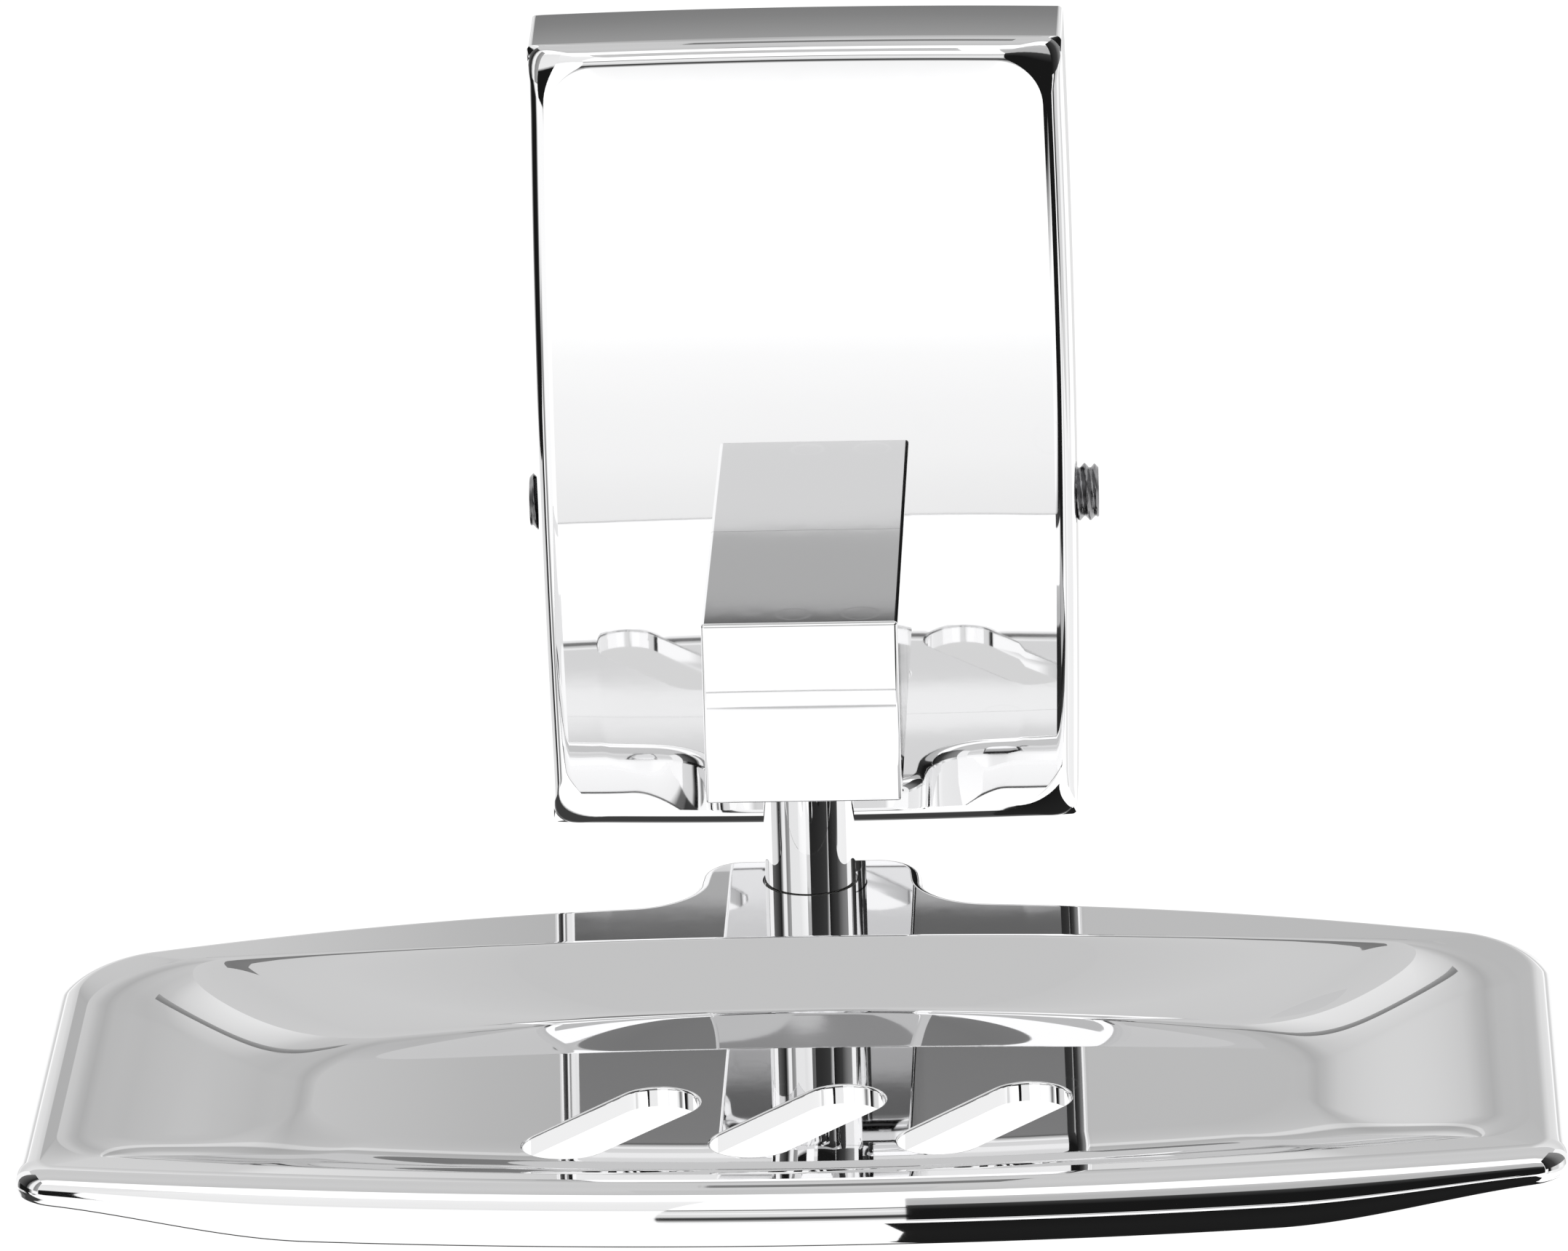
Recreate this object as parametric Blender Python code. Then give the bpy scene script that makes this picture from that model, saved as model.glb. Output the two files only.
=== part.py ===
"""Wall soap dish: a chromed wall cover, an arm and a post that carries a swivelling dish.

Metres, +Z up. The wall is the plane Y = 0 and the dish stands out towards -Y.
The origin is on the wall face, halfway up the cover.
"""
import math

import bmesh
import bpy
import numpy as np

# Wall cover: a shell that is open towards the wall.
cover_width = 0.0505
cover_height = 0.0772
cover_depth = 0.0115
cover_wall = 0.0020
cover_back_corner = 0.0005
cover_face_corner = 0.0042
cover_edge = 0.0018
cover_side_bow = 0.0005
cover_top_bow = 0.00035

# Fits: the gap kept between pieces that touch or screw into each other.
fit_gap = 0.0003
cut_overrun = 0.0010

# Grub screws that hold the cover on the bracket, one in each side.
grub_diameter = 0.0054
grub_length = 0.0065
grub_left_proud = 0.0008
grub_right_proud = 0.0020
grub_drop = 0.0075
grub_socket_width = 0.0026
grub_socket_depth = 0.0022
grub_pitch = 0.0010
grub_thread_depth = 0.00045
grub_boss_diameter = 0.0090
grub_boss_length = 0.0021

# Bracket: a bent plate that is screwed to the wall inside the cover.
bracket_thickness = 0.0015
bracket_end_gap = 0.0035
bracket_flange = 0.0078
bracket_bend = 0.0012
bracket_hole_margin = 0.0070
bracket_slot_length = 0.0075

# Wall screws and the plugs that they spread in the wall.
wall_screw_diameter = 0.0040
wall_screw_reach = 0.0300
wall_screw_head = 0.0076
wall_screw_head_height = 0.0026
wall_plug_diameter = 0.0060
wall_plug_length = 0.0300
wall_plug_recess = 0.0030
wall_plug_end = 0.0015

# Arm: a square bar that stands out of the cover.
arm_width = 0.0180
arm_height = 0.0174
arm_front = 0.0380
arm_drop = 0.0176
arm_edge = 0.0003

# Fasteners of the arm, hidden inside the cover.
arm_screw_diameter = 0.0050
arm_screw_head = 0.0088
arm_screw_head_height = 0.0028
arm_screw_in_arm = 0.0095
arm_screw_rise = 0.0020
arm_washer_diameter = 0.0100
arm_washer_thickness = 0.0010
lock_washer_thickness = 0.0012
lock_washer_slit = 0.0010
arm_dowel_diameter = 0.0030
arm_dowel_in_arm = 0.0060
arm_dowel_rise = 0.0037

# Post: the round pin between the arm and the dish.
post_diameter = 0.0084
post_setback = 0.0113
post_visible = 0.0117
post_in_arm = 0.0040
post_edge = 0.0003
stud_diameter = 0.0050
stud_in_arm = 0.0080
stud_in_post = 0.0080

# Swivel under the post: spigot, bush, washers and screw.
spigot_diameter = 0.0054
bush_wall = 0.0007
bush_flange = 0.0005
swivel_recess_depth = 0.0014
swivel_recess_lip = 0.0003
wave_washer_thickness = 0.0003
wave_washer_height = 0.0008
wave_washer_width = 0.0012
swivel_washer_diameter = 0.0086
swivel_washer_thickness = 0.0008
swivel_screw_diameter = 0.0030
swivel_screw_head = 0.0058
swivel_screw_head_height = 0.0020
swivel_screw_in_post = 0.0080

# Dish: the outline of its rim, seen from above.
dish_width = 0.1368
dish_back = 0.0320
dish_front = 0.1045
dish_back_bow = 0.0130
dish_front_bow = 0.0068
dish_back_corner = 0.0080
dish_front_corner = 0.0032

# Dish: the inner line of its flat rim, and the edge of its flat floor.
rim_back = 0.0098
rim_side = 0.0034
rim_front = 0.0053
rim_back_bow = 0.0047
rim_front_bow = 0.0072
rim_back_corner = 0.0100
rim_front_corner = 0.0040
floor_back = 0.0156
floor_side = 0.0244
floor_front = 0.0255
floor_back_bow = 0.0089
floor_front_bow = 0.0040
floor_corner = 0.0080
dish_depth = 0.0055
floor_thickness = 0.0017

# Dish: the rounding of its outer top edge, and how far its skirt hangs down.
edge_back = 0.0014
edge_side = 0.0024
edge_front = 0.0029
drop_back = 0.0014
drop_side = 0.0020
drop_front = 0.0032
skirt_back = 0.0052
skirt_side = 0.0030
skirt_front = 0.0056
skirt_thickness = 0.0019
skirt_tuck = 0.0007
groove_back = 0.0031
groove_side = 0.0024
groove_front = 0.0034

# Dish: the lug behind it that turns on the post.
lug_reach = 0.0111
lug_half_width = 0.0108
lug_power = 6
lug_foot_power = 4
lug_height = 0.0076
swivel_counterbore_depth = 0.0030

# Drain slots in the floor.
slot_count = 3
slot_length = 0.0203
slot_width = 0.0075
slot_pitch = 0.0167
slot_angle = math.radians(52)
slot_centre = 0.0740

# Resolution of round and curved work.
round_steps = 32
small_round_steps = 24
corner_steps = 6

# Shapes of small round work, as shares of the piece's own radius, height or pitch.
pan_head_shares = ((0.62, 0.00), (0.90, 0.35), (1.00, 0.75), (1.00, 1.00))
cap_head_shares = ((1.00, 0.00), (1.00, 0.45), (0.80, 0.85), (0.50, 1.00))
swivel_head_shares = ((0.55, 0.00), (0.88, 0.30), (1.00, 0.70), (1.00, 1.00))
thread_crest_shares = (0.40, 0.60)
tip_share = 0.80
plug_tip_share = 0.60
plug_core_share = 0.30
drill_point_share = 0.50
hexagon_share = 0.60
hexagon_depth_share = 0.65
lock_washer_bar_share = 0.80
inner_corner_share = 0.80
# The lug's foot: how much of its reach the soft fillet takes, and its half width over the lug's.
lug_fillet_share = 0.20
lug_foot_share = 1.42
lug_groove_share = 0.20
# Rings below the dish, as shares of the way from the rim line to the floor edge.
under_ring_shares = (0.32, 0.55, 0.80, 1.00)
under_lug_share = 0.80
cover_edge_shares = (0.50,)

# The profile from rim to floor: share of the depth, then the share of the way in from the rim line
# to the floor edge at the back, at the sides and at the front.
inner_profile_shares = (
    (0.00, 0.00, 0.00, 0.00),
    (0.04, 0.06, 0.11, 0.02),
    (0.14, 0.15, 0.23, 0.07),
    (0.32, 0.31, 0.36, 0.18),
    (0.54, 0.50, 0.50, 0.32),
    (0.74, 0.68, 0.64, 0.49),
    (0.88, 0.81, 0.77, 0.65),
    (0.96, 0.91, 0.88, 0.80),
    (1.00, 1.00, 1.00, 1.00),
)
# Where points stand along the back edge, as shares of its half length: close together at the lug.
back_edge_shares = (
    0.03, 0.07, 0.10, 0.122, 0.141, 0.156, 0.169, 0.182, 0.197, 0.215, 0.242, 0.29, 0.38, 0.55, 0.75,
)
front_edge_shares = (0.12, 0.25, 0.38, 0.50, 0.62, 0.74, 0.87)
side_edge_shares = (0.20, 0.45, 0.70)
# Where the front apron starts to grow shallower towards the corners, as a share of the half width.
apron_full_share = 0.62

# Places that follow from the sizes above.
rim_z = -arm_drop - arm_height / 2 - post_visible
post_y = -(arm_front - post_setback)
dish_half = dish_width / 2
cover_inside = cover_depth - cover_wall
grub_y = -cover_depth / 2
grub_radius = grub_diameter / 2
bracket_half = cover_width / 2 + (grub_left_proud + grub_right_proud) / 2 - grub_length - fit_gap
bracket_x = (grub_right_proud - grub_left_proud) / 2
bracket_half_height = cover_height / 2 - cover_wall - bracket_end_gap
bracket_hole_z = bracket_half_height - bracket_hole_margin
floor_z = rim_z - dish_depth


def clear_scene():
    """Take away whatever the file already holds."""
    for item in list(bpy.data.objects):
        bpy.data.objects.remove(item, do_unlink=True)


def make_material(name, colour, roughness, metallic):
    """A Principled material with the piece's colour, roughness and metallic value."""
    material = bpy.data.materials.new(name)
    material.use_nodes = True
    shader = material.node_tree.nodes["Principled BSDF"]
    shader.inputs["Base Color"].default_value = (*colour, 1.0)
    shader.inputs["Roughness"].default_value = roughness
    shader.inputs["Metallic"].default_value = metallic
    return material


def chrome(name):
    return make_material(name, (0.80, 0.80, 0.81), 0.04, 1.0)


def zinc_steel(name):
    return make_material(name, (0.62, 0.63, 0.65), 0.30, 1.0)


def nylon(name, colour):
    return make_material(name, colour, 0.45, 0.0)


def add_object(name, bm, material, smooth=True):
    """Turn a bmesh into a named object whose faces point outwards."""
    bmesh.ops.recalc_face_normals(bm, faces=bm.faces)
    mesh = bpy.data.meshes.new(name)
    bm.to_mesh(mesh)
    bm.free()
    piece = bpy.data.objects.new(name, mesh)
    bpy.context.scene.collection.objects.link(piece)
    if material is not None:
        mesh.materials.append(material)
    if smooth:
        mesh.shade_smooth()
        mesh.set_sharp_from_angle(angle=math.radians(35))
    return piece


def loft(bm, rings, closed=False):
    """Join closed rings of points with quads. Open ends are capped with one flat face each."""
    rows = [[bm.verts.new(point) for point in ring] for ring in rings]
    count = len(rows[0])
    pairs = list(zip(rows, rows[1:]))
    if closed:
        pairs.append((rows[-1], rows[0]))
    for low, high in pairs:
        for i in range(count):
            j = (i + 1) % count
            bm.faces.new((low[i], low[j], high[j], high[i]))
    if not closed:
        bm.faces.new(rows[0][::-1])
        bm.faces.new(rows[-1])


def turned_rings(profile, steps):
    """Rings of a turned piece about +Z from (radius, height) pairs."""
    turn = np.arange(steps) * 2 * math.pi / steps
    circle = np.column_stack((np.cos(turn), np.sin(turn), np.zeros(steps)))
    up = np.array((0, 0, 1))
    return [circle * radius + up * height for radius, height in profile]


def turned(name, profile, material, steps=round_steps, closed=False):
    """A piece turned about +Z; a closed profile makes a ring with a hole through it."""
    bm = bmesh.new()
    loft(bm, turned_rings(profile, steps), closed)
    return add_object(name, bm, material)


def as_cutter(piece):
    """A cutter stays in the file as a wire guide and isn't part of the object."""
    piece.hide_render = True
    piece.display_type = "WIRE"
    return piece


def add_boolean(piece, other, operation):
    modifier = piece.modifiers.new(operation.title() + " " + other.name, "BOOLEAN")
    modifier.operation = operation
    modifier.solver = "EXACT"
    modifier.object = other


def place(piece, location, rotation=(0, 0, 0), parent=None):
    piece.location = location
    piece.rotation_euler = rotation
    piece.parent = parent
    return piece


FACING_LEFT = (0, math.radians(-90), 0)
FACING_RIGHT = (0, math.radians(90), 0)
FACING_WALL = (math.radians(-90), 0, 0)


def ramp(value, low, high):
    """0 below low, 1 above high, and a smooth S between them."""
    share = np.clip((value - low) / (high - low), 0, 1)
    return share * share * (3 - 2 * share)


def mirrored(shares):
    """Shares from -1 to 1 with the given ones on both sides of 0."""
    right = np.array(shares)
    return np.concatenate((-right[::-1], (0,), right))


def rim_outline(half, back, front, back_bow, front_bow, back_corner, front_corner):
    """Points of one bowed, round-cornered outline, clockwise from the back left corner.

    It starts as a rounded rectangle. Each point then moves along Y by the back bow or the front bow,
    which are greatest in the middle and fall off with the square of X. Returned with it are how much
    each point belongs to the back, the sides and the front.
    """
    low = front + front_bow
    high = back - back_bow
    quarter = np.linspace(0, math.pi / 2, corner_steps + 1)
    sides = np.array((0,) + side_edge_shares)

    def corner(x_sign, y_centre, radius, y_sign):
        x = x_sign * (half - radius + radius * np.sin(quarter))
        y = y_centre + y_sign * radius * np.cos(quarter)
        return x, y

    back_x = mirrored(back_edge_shares) * (half - back_corner)
    front_x = -mirrored(front_edge_shares) * (half - front_corner)
    rb_x, rb_y = corner(1, high - back_corner, back_corner, 1)
    rf_x, rf_y = corner(1, low + front_corner, front_corner, -1)
    side_y = (high - back_corner) + sides[1:] * ((low + front_corner) - (high - back_corner))
    side_x = np.full(len(side_y), half)
    x = np.concatenate((back_x, rb_x, side_x, rf_x[::-1], front_x, -rf_x, -side_x, -rb_x[::-1]))
    y = np.concatenate((
        np.full(len(back_x), high), rb_y, side_y, rf_y[::-1],
        np.full(len(front_x), low), rf_y, side_y[::-1], rb_y[::-1],
    ))
    turn_share = np.sin(quarter) ** 2
    side_ones = np.ones(len(side_y))
    side_weight = np.concatenate((
        np.zeros(len(back_x)), turn_share, side_ones, turn_share[::-1],
        np.zeros(len(front_x)), turn_share, side_ones, turn_share[::-1],
    ))
    middle = (low + high) / 2
    front_weight = np.where(y < middle, 1 - side_weight, 0)
    back_weight = np.where(y >= middle, 1 - side_weight, 0)
    fall = 1 - (x / half) ** 2
    along = (y - low) / (high - low)
    y = y + fall * (back_bow * along - front_bow * (1 - along))
    return x, y, back_weight, side_weight, front_weight


def lug_bump(x, inset):
    """How far the lug stands out at x, from 1 in its middle to 0: a steep hump on a wider soft foot."""
    half = lug_half_width - inset
    hump = np.exp(-(np.abs(x) / half) ** lug_power)
    foot = np.exp(-(np.abs(x) / (half * lug_foot_share)) ** lug_foot_power)
    return hump * (1 - lug_fillet_share) + foot * lug_fillet_share


def dish_ring(offsets, bows, corners, heights, lug=0.0, lug_bottom=None):
    """One ring of the dish: how far it lies inside the outline, and its height, at back, side, front.

    lug is 1 where the ring follows the lug. lug_bottom is the height that it takes there.
    """
    half = dish_half - offsets[1]
    x, y, back, side, front = rim_outline(
        half, -dish_back - offsets[0], -dish_front + offsets[2], *bows, *corners
    )
    shallow = front * ramp(np.abs(x), apron_full_share * half, half)
    side = side + shallow
    front = front - shallow
    z = back * heights[0] + side * heights[1] + front * heights[2]
    bump = lug_bump(x, min(offsets[0], skirt_tuck + skirt_thickness)) * (back > side + front)
    y = y + lug * lug_reach * bump
    if lug_bottom is not None:
        z = z + bump * (lug_bottom - z)
    return np.column_stack((x, y, z + rim_z))


def between(start, end, share):
    return tuple(a + (b - a) * share for a, b in zip(start, end))


def dish_rings():
    """All rings of the dish, from the floor up the inside, over the rim and back below the floor."""
    outer_bows = (dish_back_bow, dish_front_bow)
    rim_bows = (rim_back_bow, rim_front_bow)
    floor_bows = (floor_back_bow, floor_front_bow)
    rim_corners = (rim_back_corner, rim_front_corner)
    floor_corners = (floor_corner, floor_corner)
    rim_line = (rim_back, rim_side, rim_front)
    floor_line = (floor_back, floor_side, floor_front)
    rings = []
    for depth, back, side, front in reversed(inner_profile_shares):
        shares = (back, side, front)
        offsets = tuple(a + (b - a) * s for a, b, s in zip(rim_line, floor_line, shares))
        mean = (back + side + front) / 3
        z = -dish_depth * depth
        bows = between(rim_bows, floor_bows, mean)
        corners = between(rim_corners, floor_corners, mean)
        rings.append(dish_ring(offsets, bows, corners, (z, z, z)))
    edge = (edge_back, edge_side, edge_front)
    drop = (drop_back, drop_side, drop_front)
    for angle in np.linspace(0, math.pi / 2, 4):
        offsets = tuple(e * (1 - math.sin(angle)) for e in edge)
        heights = tuple(-d * (1 - math.cos(angle)) for d in drop)
        corners = (dish_back_corner - offsets[0], dish_front_corner - offsets[0])
        rings.append(dish_ring(offsets, outer_bows, corners, heights, lug=1))
    outer_corners = (dish_back_corner, dish_front_corner)
    skirt = (-skirt_back, -skirt_side, -skirt_front)
    low_side = skirt_tuck / 3
    tucked = (low_side, low_side, skirt_tuck)
    inner = tuple(t + skirt_thickness for t in tucked)
    groove = (-groove_back, -groove_side, -groove_front)
    bottom = -lug_height
    rings.append(dish_ring(tucked, outer_bows, outer_corners, skirt, lug=1, lug_bottom=bottom))
    inner_corners = tuple(c - skirt_thickness / 2 for c in outer_corners)
    rings.append(dish_ring(inner, outer_bows, inner_corners, skirt, lug=1, lug_bottom=bottom))
    groove_offsets = tuple(i + skirt_thickness / 2 for i in inner)
    rings.append(dish_ring(
        groove_offsets, outer_bows, inner_corners, groove, lug=lug_groove_share, lug_bottom=bottom
    ))
    under = -dish_depth - floor_thickness
    for share in under_ring_shares:
        offsets = between(rim_line, floor_line, share)
        heights = tuple(a + (under - a) * ramp(share, 0, 1) for a in groove)
        bows = between(rim_bows, floor_bows, share)
        corners = between(rim_corners, floor_corners, share)
        low = bottom if share < under_lug_share else None
        rings.append(dish_ring(offsets, bows, corners, heights, lug_bottom=low))
    return rings


def stadium(length, width, steps):
    """Outline of a slot with round ends along X, counter-clockwise."""
    radius = width / 2
    reach = length / 2 - radius
    turn = np.linspace(-math.pi / 2, math.pi / 2, steps)
    right = np.column_stack((reach + radius * np.cos(turn), radius * np.sin(turn)))
    return np.concatenate((right, -right))


def slot_prism(bm, outline, centre, angle, low, high):
    """An upright prism with the given outline, turned about +Z by angle."""
    turn = np.array(((math.cos(angle), math.sin(angle)), (-math.sin(angle), math.cos(angle))))
    flat = outline @ turn + np.array(centre)
    loft(bm, [np.column_stack((flat, np.full(len(flat), z))) for z in (low, high)])


def make_dish(parent):
    bm = bmesh.new()
    loft(bm, dish_rings())
    dish = add_object("dish", bm, chrome("dish_chrome"))
    shape = stadium(slot_length, slot_width, corner_steps * 2)
    under = floor_z - floor_thickness
    bm = bmesh.new()
    for i in range(slot_count):
        x = (i - (slot_count - 1) / 2) * slot_pitch
        slot_prism(bm, shape, (x, -slot_centre), slot_angle, under - cut_overrun, rim_z + cut_overrun)
    add_boolean(dish, as_cutter(add_object("dish_slots_cutter", bm, None, smooth=False)), "DIFFERENCE")
    recess = post_diameter / 2 + fit_gap
    bore = spigot_diameter / 2 + fit_gap + bush_wall + fit_gap
    counterbore = swivel_washer_diameter / 2 + fit_gap
    recess_floor = rim_z - swivel_recess_depth
    ceiling = rim_z - lug_height + swivel_counterbore_depth
    bottom = rim_z - lug_height - cut_overrun
    profile = (
        (recess, rim_z + cut_overrun), (recess, recess_floor), (bore, recess_floor),
        (bore, ceiling), (counterbore, ceiling), (counterbore, bottom),
    )
    cutter = turned("dish_swivel_cutter", profile, None)
    place(as_cutter(cutter), (0, post_y, 0))
    add_boolean(dish, cutter, "DIFFERENCE")
    return hang(dish, parent)


def hang(piece, parent):
    """Parent a piece that was modelled in world places to an empty, without moving it."""
    piece.parent = parent
    piece.matrix_parent_inverse = parent.matrix_world.inverted()
    return piece


def box_outline(half_x, half_z, corner, side_bow, top_bow):
    """Bowed rectangle with round corners in X and Z, for the cover."""
    quarter = np.linspace(0, math.pi / 2, corner_steps + 1)
    x = half_x - corner + corner * np.sin(quarter)
    z = half_z - corner + corner * np.cos(quarter)
    edge_x = mirrored(cover_edge_shares) * (half_x - corner)
    edge_z = -mirrored(cover_edge_shares) * (half_z - corner)
    right = np.full(len(edge_z), half_x)
    top = np.full(len(edge_x), half_z)
    xs = np.concatenate((edge_x, x, right, x[::-1], -edge_x, -x, -right, -x[::-1]))
    zs = np.concatenate((top, z, edge_z, -z[::-1], -top, -z, -edge_z, z[::-1]))
    bowed_x = xs * (1 - side_bow / half_x * (zs / half_z) ** 2)
    bowed_z = zs * (1 - top_bow / half_z * (xs / half_x) ** 2)
    return bowed_x, bowed_z


def cover_ring(inset, corner, y):
    x, z = box_outline(
        cover_width / 2 - inset, cover_height / 2 - inset, corner, cover_side_bow, cover_top_bow
    )
    return np.column_stack((x, np.full(len(x), y), z))


def make_cover():
    """The cover: an outer shell with a rolled front edge and an inner wall, open at the back."""
    inner_corner = cover_back_corner * inner_corner_share
    rings = [cover_ring(cover_wall, inner_corner, -cover_inside), cover_ring(cover_wall, inner_corner, 0)]
    rings.append(cover_ring(0, cover_back_corner, 0))
    for angle in np.linspace(0, math.pi / 2, 5):
        share = math.sin(angle)
        corner = cover_back_corner + (cover_face_corner - cover_back_corner) * share
        y = -cover_depth + cover_edge * (1 - share)
        rings.append(cover_ring(cover_edge * (1 - math.cos(angle)), corner, y))
    bm = bmesh.new()
    loft(bm, rings)
    cover = add_object("wall_cover", bm, chrome("cover_chrome"))
    bm = bmesh.new()
    boss_outer = cover_width / 2 - cover_wall / 2
    boss_inner = cover_width / 2 - cover_wall - grub_boss_length
    for sign in (-1, 1):
        add_rod_x(bm, grub_boss_diameter / 2, sign * boss_inner, sign * boss_outer, grub_y, -grub_drop)
    bosses = as_cutter(add_object("cover_bosses", bm, None))
    add_boolean(cover, bosses, "UNION")
    bm = bmesh.new()
    for sign in (-1, 1):
        ends = (sign * (boss_inner - cut_overrun), sign * (cover_width / 2 + cut_overrun))
        add_rod_x(bm, grub_radius + fit_gap, *ends, grub_y, -grub_drop)
    screw_z, dowel_z = arm_fastener_heights()
    front = -cover_depth - cut_overrun
    back = -cover_inside + cut_overrun
    add_rod_y(bm, arm_screw_diameter / 2 + fit_gap, front, back, 0, screw_z)
    add_rod_y(bm, arm_dowel_diameter / 2 + fit_gap, front, back, 0, dowel_z)
    add_boolean(cover, as_cutter(add_object("cover_holes", bm, None)), "DIFFERENCE")
    return cover


def arm_fastener_heights():
    return -arm_drop + arm_screw_rise, -arm_drop - arm_height / 2 + arm_dowel_rise


def add_rod(bm, radius, low, high, to_world):
    """A plain rod between two places along an axis, for cutters and bosses."""
    rings = turned_rings(((radius, low), (radius, high)), small_round_steps)
    loft(bm, [to_world(ring) for ring in rings])


def add_rod_x(bm, radius, low, high, y, z):
    low, high = sorted((low, high))

    def to_world(ring):
        return np.column_stack((ring[:, 2], ring[:, 0] + y, ring[:, 1] + z))

    add_rod(bm, radius, low, high, to_world)


def add_rod_y(bm, radius, low, high, x, z):
    def to_world(ring):
        return np.column_stack((ring[:, 0] + x, ring[:, 2], ring[:, 1] + z))

    add_rod(bm, radius, low, high, to_world)


def make_bracket():
    """A channel bent from plate: a back against the wall and a flange for each grub screw."""
    half = bracket_half
    inner = half - bracket_thickness
    outer_bend = np.linspace(0, math.pi / 2, corner_steps)
    bend_x = half - bracket_bend + bracket_bend * np.sin(outer_bend)
    bend_y = -bracket_bend + bracket_bend * np.cos(outer_bend)
    x = np.concatenate((bend_x, (half, inner, inner)))
    y = np.concatenate((bend_y, (-bracket_flange, -bracket_flange, -bracket_thickness)))
    x = np.concatenate((x, -x[::-1])) + bracket_x
    y = np.concatenate((y, y[::-1]))
    bm = bmesh.new()
    loft(bm, [np.column_stack((x, y, np.full(len(x), s * bracket_half_height))) for s in (-1, 1)])
    bracket = add_object("wall_bracket", bm, zinc_steel("bracket_steel"))
    hole = wall_screw_diameter + 2 * fit_gap
    shape = stadium(bracket_slot_length, hole, corner_steps * 2)
    upright = shape[:, ::-1] * np.array((-1, 1))
    bm = bmesh.new()
    for outline, z in ((upright, bracket_hole_z), (shape, -bracket_hole_z)):
        along = outline[:, 0] + bracket_x
        up = outline[:, 1] + z
        ends = (-bracket_thickness - cut_overrun, cut_overrun)
        loft(bm, [np.column_stack((along, np.full(len(outline), y), up)) for y in ends])
    add_boolean(bracket, as_cutter(add_object("bracket_slots_cutter", bm, None)), "DIFFERENCE")
    return bracket


def thread_profile(radius, low, high, pitch, depth):
    """Grooves a pitch apart along a shank, as (radius, height) pairs."""
    count = max(int((high - low) / pitch), 1)
    step = (high - low) / count
    pairs = []
    for i in range(count):
        start = low + i * step
        pairs.append((radius - depth, start))
        pairs += [(radius, start + step * share) for share in thread_crest_shares]
    pairs.append((radius - depth, high))
    return pairs


def head_profile(radius, height, shares, low=0):
    """Points of a screw head from a table of shares of its radius and height."""
    return [(radius * across, low + height * up) for across, up in shares]


def pin_profile(radius, low, high):
    """A plain pin with a chamfer at each end."""
    chamfer = radius * (1 - tip_share)
    return [
        (radius - chamfer, low), (radius, low + chamfer), (radius, high - chamfer), (radius - chamfer, high),
    ]


def add_hexagon(bm, across, low, high):
    """A hexagon bar along +Z, for the socket of a screw, given its width across flats."""
    radius = across / math.sqrt(3)
    loft(bm, turned_rings(((radius, low), (radius, high)), 6))


def make_grub(name, place_x, rotation):
    """A grub screw with a hexagon socket; local +Z points out of the cover."""
    profile = thread_profile(grub_radius, -grub_length, 0, grub_pitch, grub_thread_depth)
    grub = turned(name, profile, zinc_steel(name + "_steel"), steps=small_round_steps)
    bm = bmesh.new()
    add_hexagon(bm, grub_socket_width, -grub_socket_depth, cut_overrun)
    socket = as_cutter(add_object(name + "_socket_cutter", bm, None))
    location = (place_x, grub_y, -grub_drop)
    add_boolean(grub, place(socket, location, rotation), "DIFFERENCE")
    return place(grub, location, rotation)


def make_wall_fixings():
    """Two pan head screws through the bracket, each in a plug that sits behind the wall's face."""
    under_head = bracket_thickness + fit_gap
    radius = wall_screw_diameter / 2
    head = wall_screw_head / 2
    top = under_head + wall_screw_head_height
    shaft = head_profile(head, wall_screw_head_height, pan_head_shares) + [
        (radius, wall_screw_head_height), (radius, top + wall_screw_reach - 2 * radius),
        (radius * (1 - tip_share), top + wall_screw_reach),
    ]
    outer = wall_plug_diameter / 2
    inner = radius + fit_gap
    core = inner * plug_core_share
    low = wall_plug_length - wall_plug_end
    tube = (
        (inner, 0), (outer, 0), (outer, low), (outer * plug_tip_share, wall_plug_length),
        (core, wall_plug_length), (core, low), (inner, low - wall_plug_end),
    )
    for name, z in (("upper", bracket_hole_z), ("lower", -bracket_hole_z)):
        steel = zinc_steel("wall_screw_steel_" + name)
        screw = turned("wall_screw_" + name, shaft, steel, steps=small_round_steps)
        place(screw, (bracket_x, -top, z), FACING_WALL)
        grey = nylon("plug_nylon_" + name, (0.55, 0.56, 0.58))
        plug = turned("wall_plug_" + name, tube, grey, steps=small_round_steps, closed=True)
        place(plug, (bracket_x, wall_plug_recess, z), FACING_WALL)


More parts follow.
